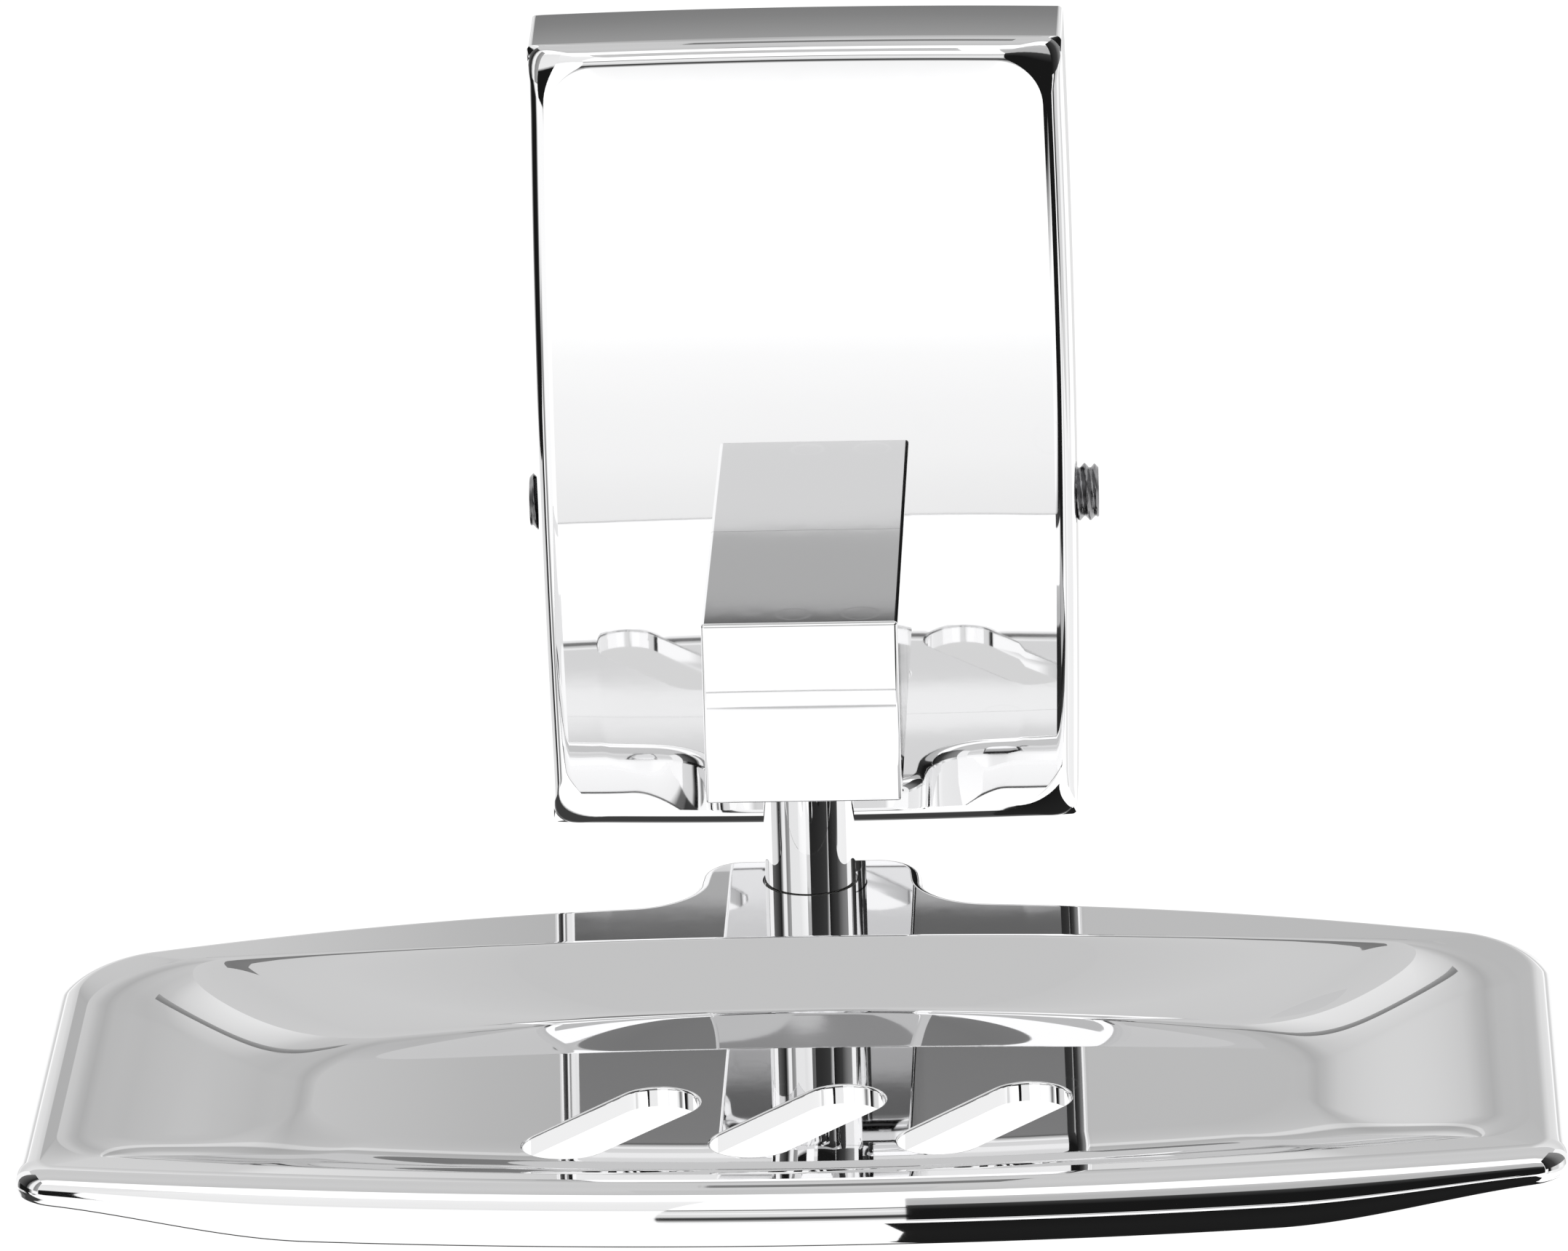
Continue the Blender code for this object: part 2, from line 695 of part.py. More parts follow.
def make_arm():
    """The bar, its crisp edges, and the blind holes for its screw, dowel, post and stud."""
    back = -cover_depth - fit_gap
    x = np.array((-1, 1, 1, -1)) * arm_width / 2
    z = np.array((-1, -1, 1, 1)) * arm_height / 2 - arm_drop
    bm = bmesh.new()
    loft(bm, [np.column_stack((x, np.full(4, y), z)) for y in (-arm_front, back)])
    arm = add_object("arm", bm, chrome("arm_chrome"), smooth=False)
    bevel = arm.modifiers.new("Edges", "BEVEL")
    bevel.width = arm_edge
    bevel.segments = 2
    bevel.limit_method = "ANGLE"
    screw_z, dowel_z = arm_fastener_heights()
    bm = bmesh.new()
    opening = back + cut_overrun
    screw_end = back - arm_screw_in_arm - fit_gap
    dowel_end = back - arm_dowel_in_arm - fit_gap
    add_rod_y(bm, arm_screw_diameter / 2 + fit_gap, screw_end, opening, 0, screw_z)
    add_rod_y(bm, arm_dowel_diameter / 2 + fit_gap, dowel_end, opening, 0, dowel_z)
    bottom = -arm_drop - arm_height / 2
    seat = bottom + post_in_arm + fit_gap
    stud = stud_diameter / 2 + fit_gap
    profile = (
        (post_diameter / 2 + fit_gap, bottom - cut_overrun), (post_diameter / 2 + fit_gap, seat),
        (stud, seat), (stud, seat + stud_in_arm + fit_gap),
    )
    post_rings = [ring + np.array((0, post_y, 0)) for ring in turned_rings(profile, small_round_steps)]
    loft(bm, post_rings)
    add_boolean(arm, as_cutter(add_object("arm_holes", bm, None)), "DIFFERENCE")
    return arm


def make_arm_fasteners():
    """Behind the cover's face: washer, lock washer and screw head, with a dowel below them."""
    screw_z, dowel_z = arm_fastener_heights()
    bore = arm_screw_diameter / 2 + fit_gap
    washer_y = -cover_inside + fit_gap
    rim = arm_washer_diameter / 2
    ring = ((bore, 0), (rim, 0), (rim, arm_washer_thickness), (bore, arm_washer_thickness))
    steel = zinc_steel("arm_fastener_steel")
    place(turned("arm_washer", ring, steel, closed=True), (0, washer_y, screw_z), FACING_WALL)
    lock_y = washer_y + arm_washer_thickness + fit_gap
    place(make_lock_washer(steel, bore), (0, lock_y, screw_z), FACING_WALL)
    head_y = lock_y + lock_washer_thickness + fit_gap
    radius = arm_screw_diameter / 2
    chamfer = radius * (1 - tip_share)
    tip = head_y + cover_depth + fit_gap + arm_screw_in_arm
    shaft = [(radius - chamfer, -tip), (radius, chamfer - tip), (radius, 0)]
    shaft += head_profile(arm_screw_head / 2, arm_screw_head_height, cap_head_shares)
    screw = turned("arm_screw", shaft, steel)
    bm = bmesh.new()
    socket_floor = arm_screw_head_height * (1 - hexagon_depth_share)
    add_hexagon(bm, arm_screw_diameter * hexagon_share, socket_floor, arm_screw_head_height + cut_overrun)
    socket = as_cutter(add_object("arm_screw_socket_cutter", bm, None))
    place(socket, (0, head_y, screw_z), FACING_WALL)
    add_boolean(screw, socket, "DIFFERENCE")
    place(screw, (0, head_y, screw_z), FACING_WALL)
    dowel = pin_profile(arm_dowel_diameter / 2, -cover_wall - fit_gap - arm_dowel_in_arm, 0)
    pin = turned("arm_dowel", dowel, steel, steps=small_round_steps)
    place(pin, (0, -cover_inside, dowel_z), FACING_WALL)


def make_lock_washer(material, bore):
    """A spring lock washer: a square-section ring with a slit and its two ends set apart."""
    outer = arm_screw_head / 2
    turns = small_round_steps
    gap = lock_washer_slit / outer
    angles = np.linspace(gap / 2, 2 * math.pi - gap / 2, turns)
    thick = lock_washer_thickness * lock_washer_bar_share
    lift = lock_washer_thickness - thick
    rings = []
    for angle in angles:
        low = lift * (angle / (2 * math.pi))
        square = ((bore, low), (outer, low), (outer, low + thick), (bore, low + thick))
        rings.append([(r * math.cos(angle), r * math.sin(angle), h) for r, h in square])
    bm = bmesh.new()
    loft(bm, rings)
    return add_object("arm_lock_washer", bm, material)


def make_post():
    """The post: its top sits in the arm on a stud, its spigot passes down through the dish's lug."""
    radius = post_diameter / 2
    bottom = -arm_drop - arm_height / 2
    top = bottom + post_in_arm
    shoulder = rim_z - swivel_recess_lip
    spigot = spigot_diameter / 2
    spigot_end = rim_z - lug_height + swivel_counterbore_depth - fit_gap - wave_washer_height
    stud_hole = stud_diameter / 2 + fit_gap
    screw_hole = swivel_screw_diameter / 2 + fit_gap
    stud_floor = top - stud_in_post - fit_gap
    screw_ceiling = spigot_end + swivel_screw_in_post + fit_gap
    profile = (
        (stud_hole * drill_point_share, stud_floor), (stud_hole, stud_floor), (stud_hole, top),
        (radius - post_edge, top), (radius, top - post_edge), (radius, shoulder + post_edge),
        (radius - post_edge, shoulder), (spigot, shoulder), (spigot, spigot_end), (screw_hole, spigot_end),
        (screw_hole, screw_ceiling), (screw_hole * drill_point_share, screw_ceiling),
    )
    place(turned("post", profile, chrome("post_chrome")), (0, post_y, 0))
    pin = pin_profile(stud_diameter / 2, top - stud_in_post, top + fit_gap + stud_in_arm)
    stud = turned("post_stud", pin, zinc_steel("stud_steel"), steps=small_round_steps)
    place(stud, (0, post_y, 0))


def make_swivel(pivot):
    """Bush in the lug; wave washer, flat washer and screw under the spigot."""
    spigot = spigot_diameter / 2
    inner = spigot + fit_gap
    outer = inner + bush_wall
    flange = post_diameter / 2
    flange_top = rim_z - swivel_recess_depth + fit_gap + bush_flange
    flange_low = flange_top - bush_flange
    ceiling = rim_z - lug_height + swivel_counterbore_depth
    bush_low = ceiling + fit_gap
    profile = (
        (inner, bush_low), (outer, bush_low), (outer, flange_low), (flange, flange_low),
        (flange, flange_top), (inner, flange_top),
    )
    bush = turned("swivel_bush", profile, nylon("bush_nylon", (0.86, 0.86, 0.84)), closed=True)
    place(bush, (0, post_y, 0))
    hang(bush, pivot)
    wave_outer = inner + wave_washer_width
    wave_low = ceiling - fit_gap - wave_washer_height
    steel = zinc_steel("swivel_steel")
    place(make_wave_washer(inner, wave_outer, wave_low, steel), (0, post_y, 0))
    hole = swivel_screw_diameter / 2 + fit_gap
    rim = swivel_washer_diameter / 2
    washer_top = wave_low - fit_gap
    washer_low = washer_top - swivel_washer_thickness
    ring = ((hole, washer_low), (rim, washer_low), (rim, washer_top), (hole, washer_top))
    place(turned("swivel_washer", ring, steel, closed=True), (0, post_y, 0))
    head_top = washer_low - fit_gap
    head_low = head_top - swivel_screw_head_height
    head = swivel_screw_head / 2
    shank = swivel_screw_diameter / 2
    tip = wave_low + swivel_screw_in_post
    chamfer = shank * (1 - tip_share)
    shaft = head_profile(head, swivel_screw_head_height, swivel_head_shares, head_low)
    shaft += [(shank, head_top), (shank, tip - chamfer), (shank - chamfer, tip)]
    screw = turned("swivel_screw", shaft, steel, steps=small_round_steps)
    bm = bmesh.new()
    socket_top = head_low + swivel_screw_head_height * hexagon_depth_share
    add_hexagon(bm, swivel_screw_diameter * hexagon_share, head_low - cut_overrun, socket_top)
    socket = place(as_cutter(add_object("swivel_screw_socket_cutter", bm, None)), (0, post_y, 0))
    add_boolean(screw, socket, "DIFFERENCE")
    place(screw, (0, post_y, 0))


def make_wave_washer(inner, outer, low, material):
    """A thin ring whose height rises and falls three times around."""
    steps = small_round_steps
    turn = np.arange(steps) * 2 * math.pi / steps
    swing = (wave_washer_height - wave_washer_thickness) / 2
    wave = low + swing * (1 + np.cos(3 * turn))
    thick = wave_washer_thickness
    rings = []
    for radius, lift in ((inner, 0), (outer, 0), (outer, thick), (inner, thick)):
        rings.append(np.column_stack((radius * np.cos(turn), radius * np.sin(turn), wave + lift)))
    bm = bmesh.new()
    loft(bm, rings, closed=True)
    return add_object("wave_washer", bm, material)


def main():
    clear_scene()
    pivot = bpy.data.objects.new("dish_pivot", None)
    bpy.context.scene.collection.objects.link(pivot)
    pivot.location = (0, post_y, rim_z)
    bpy.context.view_layer.update()
    make_wall_fixings()
    make_bracket()
    make_cover()
    make_grub("cover_grub_left", -cover_width / 2 - grub_left_proud, FACING_LEFT)
    make_grub("cover_grub_right", cover_width / 2 + grub_right_proud, FACING_RIGHT)
    make_arm()
    make_arm_fasteners()
    make_post()
    make_swivel(pivot)
    make_dish(pivot)


main()
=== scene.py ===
"""Looks of a wall soap dish: chromed cover, arm, post and dish with their fixings, and a photo studio."""
import math

import bmesh
import bpy
import numpy as np
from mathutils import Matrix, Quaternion, Vector


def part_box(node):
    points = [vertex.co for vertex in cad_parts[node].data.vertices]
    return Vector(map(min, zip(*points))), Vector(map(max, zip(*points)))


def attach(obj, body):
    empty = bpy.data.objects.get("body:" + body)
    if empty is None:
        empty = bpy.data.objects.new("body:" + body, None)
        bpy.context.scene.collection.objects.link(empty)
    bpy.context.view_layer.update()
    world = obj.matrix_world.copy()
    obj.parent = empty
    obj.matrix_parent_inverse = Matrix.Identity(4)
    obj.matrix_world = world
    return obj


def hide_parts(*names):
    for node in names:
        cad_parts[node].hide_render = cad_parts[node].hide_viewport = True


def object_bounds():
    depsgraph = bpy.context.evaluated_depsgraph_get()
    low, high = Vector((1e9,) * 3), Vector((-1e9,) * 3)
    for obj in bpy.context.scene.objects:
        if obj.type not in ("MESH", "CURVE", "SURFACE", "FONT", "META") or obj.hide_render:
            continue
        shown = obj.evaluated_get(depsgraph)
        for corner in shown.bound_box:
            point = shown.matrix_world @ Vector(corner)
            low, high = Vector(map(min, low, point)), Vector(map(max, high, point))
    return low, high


bl_info = {
    "name": "Wall soap dish",
    "version": (1, 0, 0),
    "blender": (4, 5, 0),
    "location": "3D View > Sidebar > Soap Dish",
    "description": "Builds the visible pieces of a chromed wall soap dish around its packed frame",
    "category": "Object",
}

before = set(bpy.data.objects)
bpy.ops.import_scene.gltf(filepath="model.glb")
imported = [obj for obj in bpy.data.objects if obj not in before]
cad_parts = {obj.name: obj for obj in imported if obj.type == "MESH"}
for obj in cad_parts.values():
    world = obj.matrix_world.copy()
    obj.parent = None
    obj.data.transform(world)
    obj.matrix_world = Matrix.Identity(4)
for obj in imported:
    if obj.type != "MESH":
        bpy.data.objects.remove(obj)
packed_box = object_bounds()
cover_low, cover_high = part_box("wall_cover")
arm_low, arm_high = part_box("arm")
post_low, post_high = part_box("post")
dish_low, dish_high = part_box("dish")
grub_low, grub_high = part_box("cover_grub_right")
grub_left_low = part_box("cover_grub_left")[0]

PHOTO_WIDTH = 2156
SHARP_ANGLE = math.radians(38)
# How far the arm's screw and its dowel lie above the arm's middle.
ARM_SCREW_RISE, ARM_DOWEL_RISE = 0.0020, -0.0050


def length(description, default):
    """A length in metres that the user can change."""
    return bpy.props.FloatProperty(
        description=description, default=default, min=0.0, precision=5, unit="LENGTH"
    )


def factor(description, default, top=1.0):
    """A number from 0 to top that the user can change."""
    return bpy.props.FloatProperty(
        description=description, default=default, min=0.0, max=top, precision=4, subtype="FACTOR"
    )


def tilt(description, degrees):
    """An angle that the user can change."""
    return bpy.props.FloatProperty(
        description=description, default=math.radians(degrees), subtype="ANGLE"
    )


def colour(description, default):
    """A colour that the user can change."""
    return bpy.props.FloatVectorProperty(
        description=description, default=default, min=0.0, max=1.0, size=3, subtype="COLOR"
    )


class DishSizes(bpy.types.PropertyGroup):
    width: length("Width of the dish over its rim", dish_high.x - dish_low.x)
    back: length("Distance of the rim's back edge from the wall", 0.0320)
    front: length("Distance of the rim's front edge from the wall", -dish_low.y)
    back_bow: length("How far the back edge bows towards the wall in its middle", 0.0130)
    front_bow: length("How far the front edge bows out in its middle", 0.0068)
    depth: length("Depth of the floor below the rim", 0.0055)
    floor_thickness: length("Thickness of the floor", 0.0017)
    foot_radius: length("Radius where the back slope meets the floor", 0.0012)
    lug_half_width: length("Half the width of the lug behind the dish", 0.0103)
    lug_reach: length("How far the lug stands out behind the back edge", 0.0111)
    lug_height: length("Height of the lug", 0.0076)
    slot_length: length("Length of a drain slot over its round ends", 0.0203)
    slot_width: length("Width of a drain slot", 0.0075)
    slot_pitch: length("Distance between neighbouring drain slots", 0.0167)
    slot_centre: length("Distance of the slots' middle from the wall", 0.0740)
    slot_edge: length("Radius of the slots' upper edge", 0.00022)
    slot_angle: tilt("Slant of the slots", 52)


class HolderSizes(bpy.types.PropertyGroup):
    cover_width: length("Width of the wall cover", cover_high.x - cover_low.x)
    cover_height: length("Height of the wall cover", cover_high.z - cover_low.z)
    cover_depth: length("How far the cover's face stands off the wall", -cover_low.y)
    cover_wall: length("Thickness of the cover's wall", 0.0020)
    cover_edge: length("Radius of the edge around the cover's face", 0.0018)
    cover_back_corner: length("Corner radius of the cover at the wall", 0.0005)
    cover_face_corner: length("Corner radius of the cover's face", 0.0042)
    arm_width: length("Width of the square arm", arm_high.x - arm_low.x)
    arm_height: length("Height of the square arm", arm_high.z - arm_low.z)
    arm_drop: length("Distance of the arm's middle below the cover's middle", 0.0176)
    arm_front: length("Distance of the arm's front face from the wall", -arm_low.y)
    arm_edge: length("Radius of the arm's edges", 0.0003)
    post_diameter: length("Diameter of the round post", post_high.x - post_low.x)
    post_setback: length("Distance of the post behind the arm's front face", 0.0113)


class FixingSizes(bpy.types.PropertyGroup):
    grub_diameter: length("Outer diameter of the cover's grub screws", 0.0054)
    grub_length: length("Length of the cover's grub screws", 0.0065)
    grub_drop: length("Distance of the grub screws below the cover's middle", 0.0075)
    grub_pitch: length("Distance between two turns of their thread", 0.0010)
    grub_depth: length("Depth of their thread", 0.00042)
    socket_width: length("Width across the flats of their socket", 0.0026)
    socket_depth: length("Depth of their socket", 0.0022)
    screw_diameter: length("Outer diameter of the wall screws", 0.0040)
    screw_pitch: length("Distance between two turns of their thread", 0.0015)
    plug_diameter: length("Outer diameter of the wall plugs", 0.0060)
    plug_rib: length("Depth of the ribs around the wall plugs", 0.00035)


class Finish(bpy.types.PropertyGroup):
    chrome: colour("Colour of the chrome plate", (0.93, 0.93, 0.935))
    chrome_roughness: factor("Roughness of clean chrome", 0.018)
    chrome_wave: factor("Strength of the polished casting's faint waves", 0.05)
    chrome_marks: factor("Strength of wipe marks and dried drops", 0.12)
    zinc: colour("Colour of zinc-plated steel", (0.60, 0.61, 0.63))
    grub: colour("Colour of the grub screws", (0.34, 0.34, 0.35))
    plug: colour("Colour of the nylon wall plugs", (0.42, 0.43, 0.45))
    bush: colour("Colour of the nylon bush", (0.80, 0.80, 0.77))


class Studio(bpy.types.PropertyGroup):
    distance: length("Distance of the camera from its target", 1.1)
    turn: tilt("Camera's angle to the object's right", 2.2)
    rise: tilt("Camera's angle above the level", 19.16)
    floor_drop: length("Distance of the studio floor below the dish", 0.50)
    zoom: bpy.props.FloatProperty(
        description="Focal length in pixels of a picture 2156 pixels wide",
        default=16760.0, min=100.0,
    )
    roll: tilt("How far the picture is turned", 1.65)
    target: bpy.props.FloatVectorProperty(
        description="Point in the middle of the picture",
        default=(-0.0009, -0.05, -0.0049), size=3, subtype="XYZ",
    )
    key: factor("Power of the lamp over the object, in watts", 4.0, 100.0)
    fill: factor("Power of each side lamp, in watts", 1.2, 100.0)
    pale: colour("Colour of the floor and backdrop", (1.0, 1.0, 1.0))


def rounded_path(points, radii, steps=10, closed=False):
    """Line through points whose corners are turned into arcs of the given radii.

    Each arc starts and ends a tangent length, radius times the tangent of half the turn, from its
    corner. One more point stands just before and just after it, so that shading stays flat beside it.
    """
    support = 3e-5
    points = np.asarray(points, dtype=float)
    count = len(points)
    path = [] if closed else [points[0]]
    for i in range(count) if closed else range(1, count - 1):
        here = points[i]
        before = here - points[i - 1]
        after = points[(i + 1) % count] - here
        before /= np.linalg.norm(before)
        after /= np.linalg.norm(after)
        radius = radii[i]
        turn = math.atan2(before[0] * after[1] - before[1] * after[0], before @ after)
        if radius <= 0 or abs(turn) < 1e-6:
            path.append(here)
            continue
        tangent = radius * math.tan(abs(turn) / 2)
        start = here - before * tangent
        side = np.array((-before[1], before[0])) * math.copysign(1, turn)
        centre = start + side * radius
        angles = np.linspace(0, turn, steps + 1)
        arm = start - centre
        cos, sin = np.cos(angles), np.sin(angles)
        arc = centre + np.column_stack((arm[0] * cos - arm[1] * sin, arm[0] * sin + arm[1] * cos))
        path.append(start - before * support)
        path.extend(arc)
        path.append(arc[-1] + after * support)
    if not closed:
        path.append(points[-1])
    return np.array(path)


def along_path(path, count):
    """count points spread evenly along a line, by its running length."""
    steps = np.linalg.norm(np.diff(path, axis=0), axis=1)
    run = np.concatenate(((0,), np.cumsum(steps)))
    at = np.linspace(0, run[-1], count)
    return np.column_stack([np.interp(at, run, path[:, i]) for i in range(path.shape[1])])


def ramp(value, low, high):
    """0 below low, 1 above high, and a smooth S of third degree between them."""
    share = np.clip((value - low) / (high - low), 0, 1)
    return share * share * (3 - 2 * share)


def add_object(name, data):
    """An object of the given data, in the scene's own collection."""
    made = bpy.data.objects.new(name, data)
    bpy.context.scene.collection.objects.link(made)
    return made


def add_mesh(name, points, faces, material):
    """A mesh object at the origin."""
    mesh = bpy.data.meshes.new(name)
    mesh.from_pydata(points, [], faces)
    mesh.materials.append(material)
    return add_object(name, mesh)


def add_smooth(name, points, faces, material):
    """A mesh object with smooth faces and its sharp edges kept sharp."""
    piece = add_mesh(name, points.tolist(), faces, material)
    mesh = piece.data
    mesh.validate()
    mesh.shade_smooth()
    mesh.set_sharp_from_angle(angle=SHARP_ANGLE)
    return piece


def surface(name, rings, material, closed=False):
    """Closed surface through rings of points: quads between rings, and a flat face over each end.

    rings[i, j] is the point at step i along the profile and step j around it. With closed set, the last
    ring joins the first one and there are no end faces. The sign of the volume, a sixth of the sum of
    each quad's corners' triple product, tells which way round the faces go.
    """
    rows, count, _ = rings.shape
    around = np.arange(count)
    following = (around + 1) % count
    last = rows if closed else rows - 1
    low = np.arange(last)[:, None] * count
    high = (np.arange(1, last + 1) % rows)[:, None] * count
    quads = np.stack((low + around, low + following, high + following, high + around), axis=-1)
    quads = quads.reshape(-1, 4)
    points = rings.reshape(-1, 3)
    centred = points - points.mean(axis=0)
    first, second, third, fourth = np.moveaxis(centred[quads], 1, 0)
    volume = (first * (np.cross(second, third) + np.cross(third, fourth))).sum()
    ends = [] if closed else [around[::-1], around + (rows - 1) * count]
    for end in ends:
        fan = centred[end]
        volume += (np.cross(fan[1:-1] - fan[0], fan[2:] - fan[0]) @ fan[0]).sum()
    order = -1 if volume < 0 else 1
    faces = quads[:, ::order].tolist() + [end[::order].tolist() for end in ends]
    return add_smooth(name, points, faces, material)


def full_turn(steps):
    """The angles of that many even steps around a circle."""
    return np.arange(steps) * (2 * math.pi / steps)


def round_points(radius, turn, height):
    """Points at radius times the cosine and sine of turn, and at height; each a number or an array."""
    radius, turn, height = np.broadcast_arrays(radius, turn, height)
    return np.stack((radius * np.cos(turn), radius * np.sin(turn), height), axis=-1)


def turned(profile, steps=96):
    """Rings of a turned piece: each (radius, height) of the profile is carried around +Z."""
    radius, height = np.array(profile, dtype=float).T[:, :, None]
    return round_points(radius, full_turn(steps), height)


def aim(rings, place, direction):
    """Turn rings that were made about +Z so that their +Z points along direction, then move them."""
    turn = np.array(Vector(direction).to_track_quat("Z", "Y").to_matrix())
    return rings @ turn.T + np.asarray(place)


def cut(piece, cutter, operation="DIFFERENCE"):
    """Join or cut a piece with another closed surface, and keep the result in the piece's own mesh.

    Quads are made triangles first, because a bent quad has no plane of its own to cut along.
    """
    for held in (piece, cutter):
        mesh = bmesh.new()
        mesh.from_mesh(held.data)
        bmesh.ops.triangulate(mesh, faces=[face for face in mesh.faces if len(face.verts) == 4])
        mesh.to_mesh(held.data)
        mesh.free()
    modifier = piece.modifiers.new(operation, "BOOLEAN")
    modifier.operation = operation
    modifier.solver = "EXACT"
    modifier.material_mode = "TRANSFER"
    modifier.object = cutter
    graph = bpy.context.evaluated_depsgraph_get()
    result = bpy.data.meshes.new_from_object(piece.evaluated_get(graph))
    piece.modifiers.clear()
    old = piece.data
    piece.data = result
    bpy.data.meshes.remove(old)
    bpy.data.objects.remove(cutter, do_unlink=True)


def sharpen(piece):
    """Mark edges sharp where faces turn by the sharp angle, or where a cut's own faces meet the rest.

    The cut's faces are told apart by their material slot. Afterwards every face takes the first slot.
    """
    mesh = piece.data
    mesh.shade_smooth()
    mesh.set_sharp_from_angle(angle=SHARP_ANGLE)
    slots, starts = np.zeros((2, len(mesh.polygons)), dtype=np.int32)
    mesh.polygons.foreach_get("material_index", slots)
    mesh.polygons.foreach_get("loop_start", starts)
    edges = np.zeros(len(mesh.loops), dtype=np.int32)
    mesh.loops.foreach_get("edge_index", edges)
    slot_of_loop = np.repeat(slots, np.diff(np.append(starts, len(mesh.loops))))
    low = np.full(len(mesh.edges), len(mesh.materials), dtype=np.int32)
    high = np.full(len(mesh.edges), -1, dtype=np.int32)
    np.minimum.at(low, edges, slot_of_loop)
    np.maximum.at(high, edges, slot_of_loop)
    sharp = np.zeros(len(mesh.edges), dtype=bool)
    attribute = mesh.attributes.get("sharp_edge") or mesh.attributes.new("sharp_edge", "BOOLEAN", "EDGE")
    attribute.data.foreach_get("value", sharp)
    attribute.data.foreach_set("value", sharp | (low != high))
    mesh.polygons.foreach_set("material_index", np.zeros(len(mesh.polygons), dtype=np.int32))
    while len(mesh.materials) > 1:
        mesh.materials.pop()
    mesh.update()


def stands_for(piece, body, slot, *nodes):
    """The piece rides on a body and hides the nodes that it stands for. Its slot is not used."""
    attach(piece, body)
    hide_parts(*nodes)


# Corner radii of the dish's outline, half the width of the back edge that the lug and its foot take up,
# the points along that part and beside it, and how they are shared out along it.
BACK_CORNER, FRONT_CORNER = 0.0080, 0.0032
LUG_SPAN = 0.018
LUG_POINTS = 161
BACK_EDGE_POINTS = 33
LUG_SPREAD = (0, 0.116, 0.32, 0.68, 0.884, 1), (-1, -0.63, -0.36, 0.36, 0.63, 1)


def dish_plan(half, back, front, back_bow, front_bow, back_corner, front_corner):
    """Outline of the dish in X and Y, clockwise from the back left, with how much of each point is
    back, side and front.

    A rounded rectangle whose points then move along Y: by the back bow or the front bow, shared out by
    how near the point is to either edge, times 1 minus the square of X over the half width. Before the
    lug the points lie closer where its sides leave the edge.
    """
    lug_share = LUG_SPAN / ((dish_high.x - dish_low.x) / 2 - BACK_CORNER)
    beyond = np.linspace(lug_share, 1, BACK_EDGE_POINTS + 2)[1:-1]
    at_lug = np.interp(np.linspace(0, 1, LUG_POINTS), *LUG_SPREAD) * lug_share
    back_share = np.concatenate((-beyond[::-1], at_lug, beyond))
    front_share = np.linspace(-1, 1, 131)[1:-1]
    side_share = np.linspace(0, 1, 27)[1:-1]
    quarter = np.linspace(0, math.pi / 2, 21)
    low = front + front_bow
    high = back - back_bow

    def corner(y_centre, radius, sign):
        return half - radius + radius * np.sin(quarter), y_centre + sign * radius * np.cos(quarter)

    back_x = back_share * (half - back_corner)
    front_x = -front_share * (half - front_corner)
    back_end_x, back_end_y = corner(high - back_corner, back_corner, 1)
    front_end_x, front_end_y = corner(low + front_corner, front_corner, -1)
    side_y = (high - back_corner) + side_share * ((low + front_corner) - (high - back_corner))
    right_x = np.concatenate((back_end_x, np.full(len(side_y), half), front_end_x[::-1]))
    right_y = np.concatenate((back_end_y, side_y, front_end_y[::-1]))
    turning = np.sin(quarter) ** 2
    right_share = np.concatenate((turning, np.ones(len(side_y)), turning[::-1]))
    x = np.concatenate((back_x, right_x, front_x, -right_x[::-1]))
    y = np.concatenate((np.full(len(back_x), high), right_y, np.full(len(front_x), low), right_y[::-1]))
    side = np.concatenate((np.zeros(len(back_x)), right_share, np.zeros(len(front_x)), right_share[::-1]))
    is_back = y >= (low + high) / 2
    fall = 1 - (x / half) ** 2
    along = (y - low) / (high - low)
    y = y + fall * (back_bow * along - front_bow * (1 - along))
    weights = np.column_stack((np.where(is_back, 1 - side, 0), side, np.where(is_back, 0, 1 - side)))
    return np.column_stack((x, y)), weights


def lug_plan(sizes):
    """Outline of the lug in X and Y: a rounded block whose foot runs into the bowed back edge."""
    half = sizes.lug_half_width
    top = -sizes.back + sizes.lug_reach
    half_dish = sizes.width / 2

    def edge(x):
        return -sizes.back - sizes.back_bow * (x / half_dish) ** 2

    corner, foot, lean = 0.0042, 0.0062, 0.0006
    points = [
        (-LUG_SPAN, edge(LUG_SPAN)), (-half - lean, edge(half)), (-half + lean / 2, top),
        (half - lean / 2, top), (half + lean, edge(half)), (LUG_SPAN, edge(LUG_SPAN)),
    ]
    path = rounded_path(points, (0, foot, corner, corner, foot, 0), steps=24)
    return along_path(path, LUG_POINTS)


def inward(plan):
    """Unit vectors across a clockwise outline that point into it, from its neighbours' difference."""
    along = np.roll(plan, -1, axis=0) - np.roll(plan, 1, axis=0)
    along /= np.linalg.norm(along, axis=1)[:, None]
    return np.column_stack((along[:, 1], -along[:, 0]))


def ring(plan, height):
    return np.column_stack((plan, np.broadcast_to(height, len(plan))))


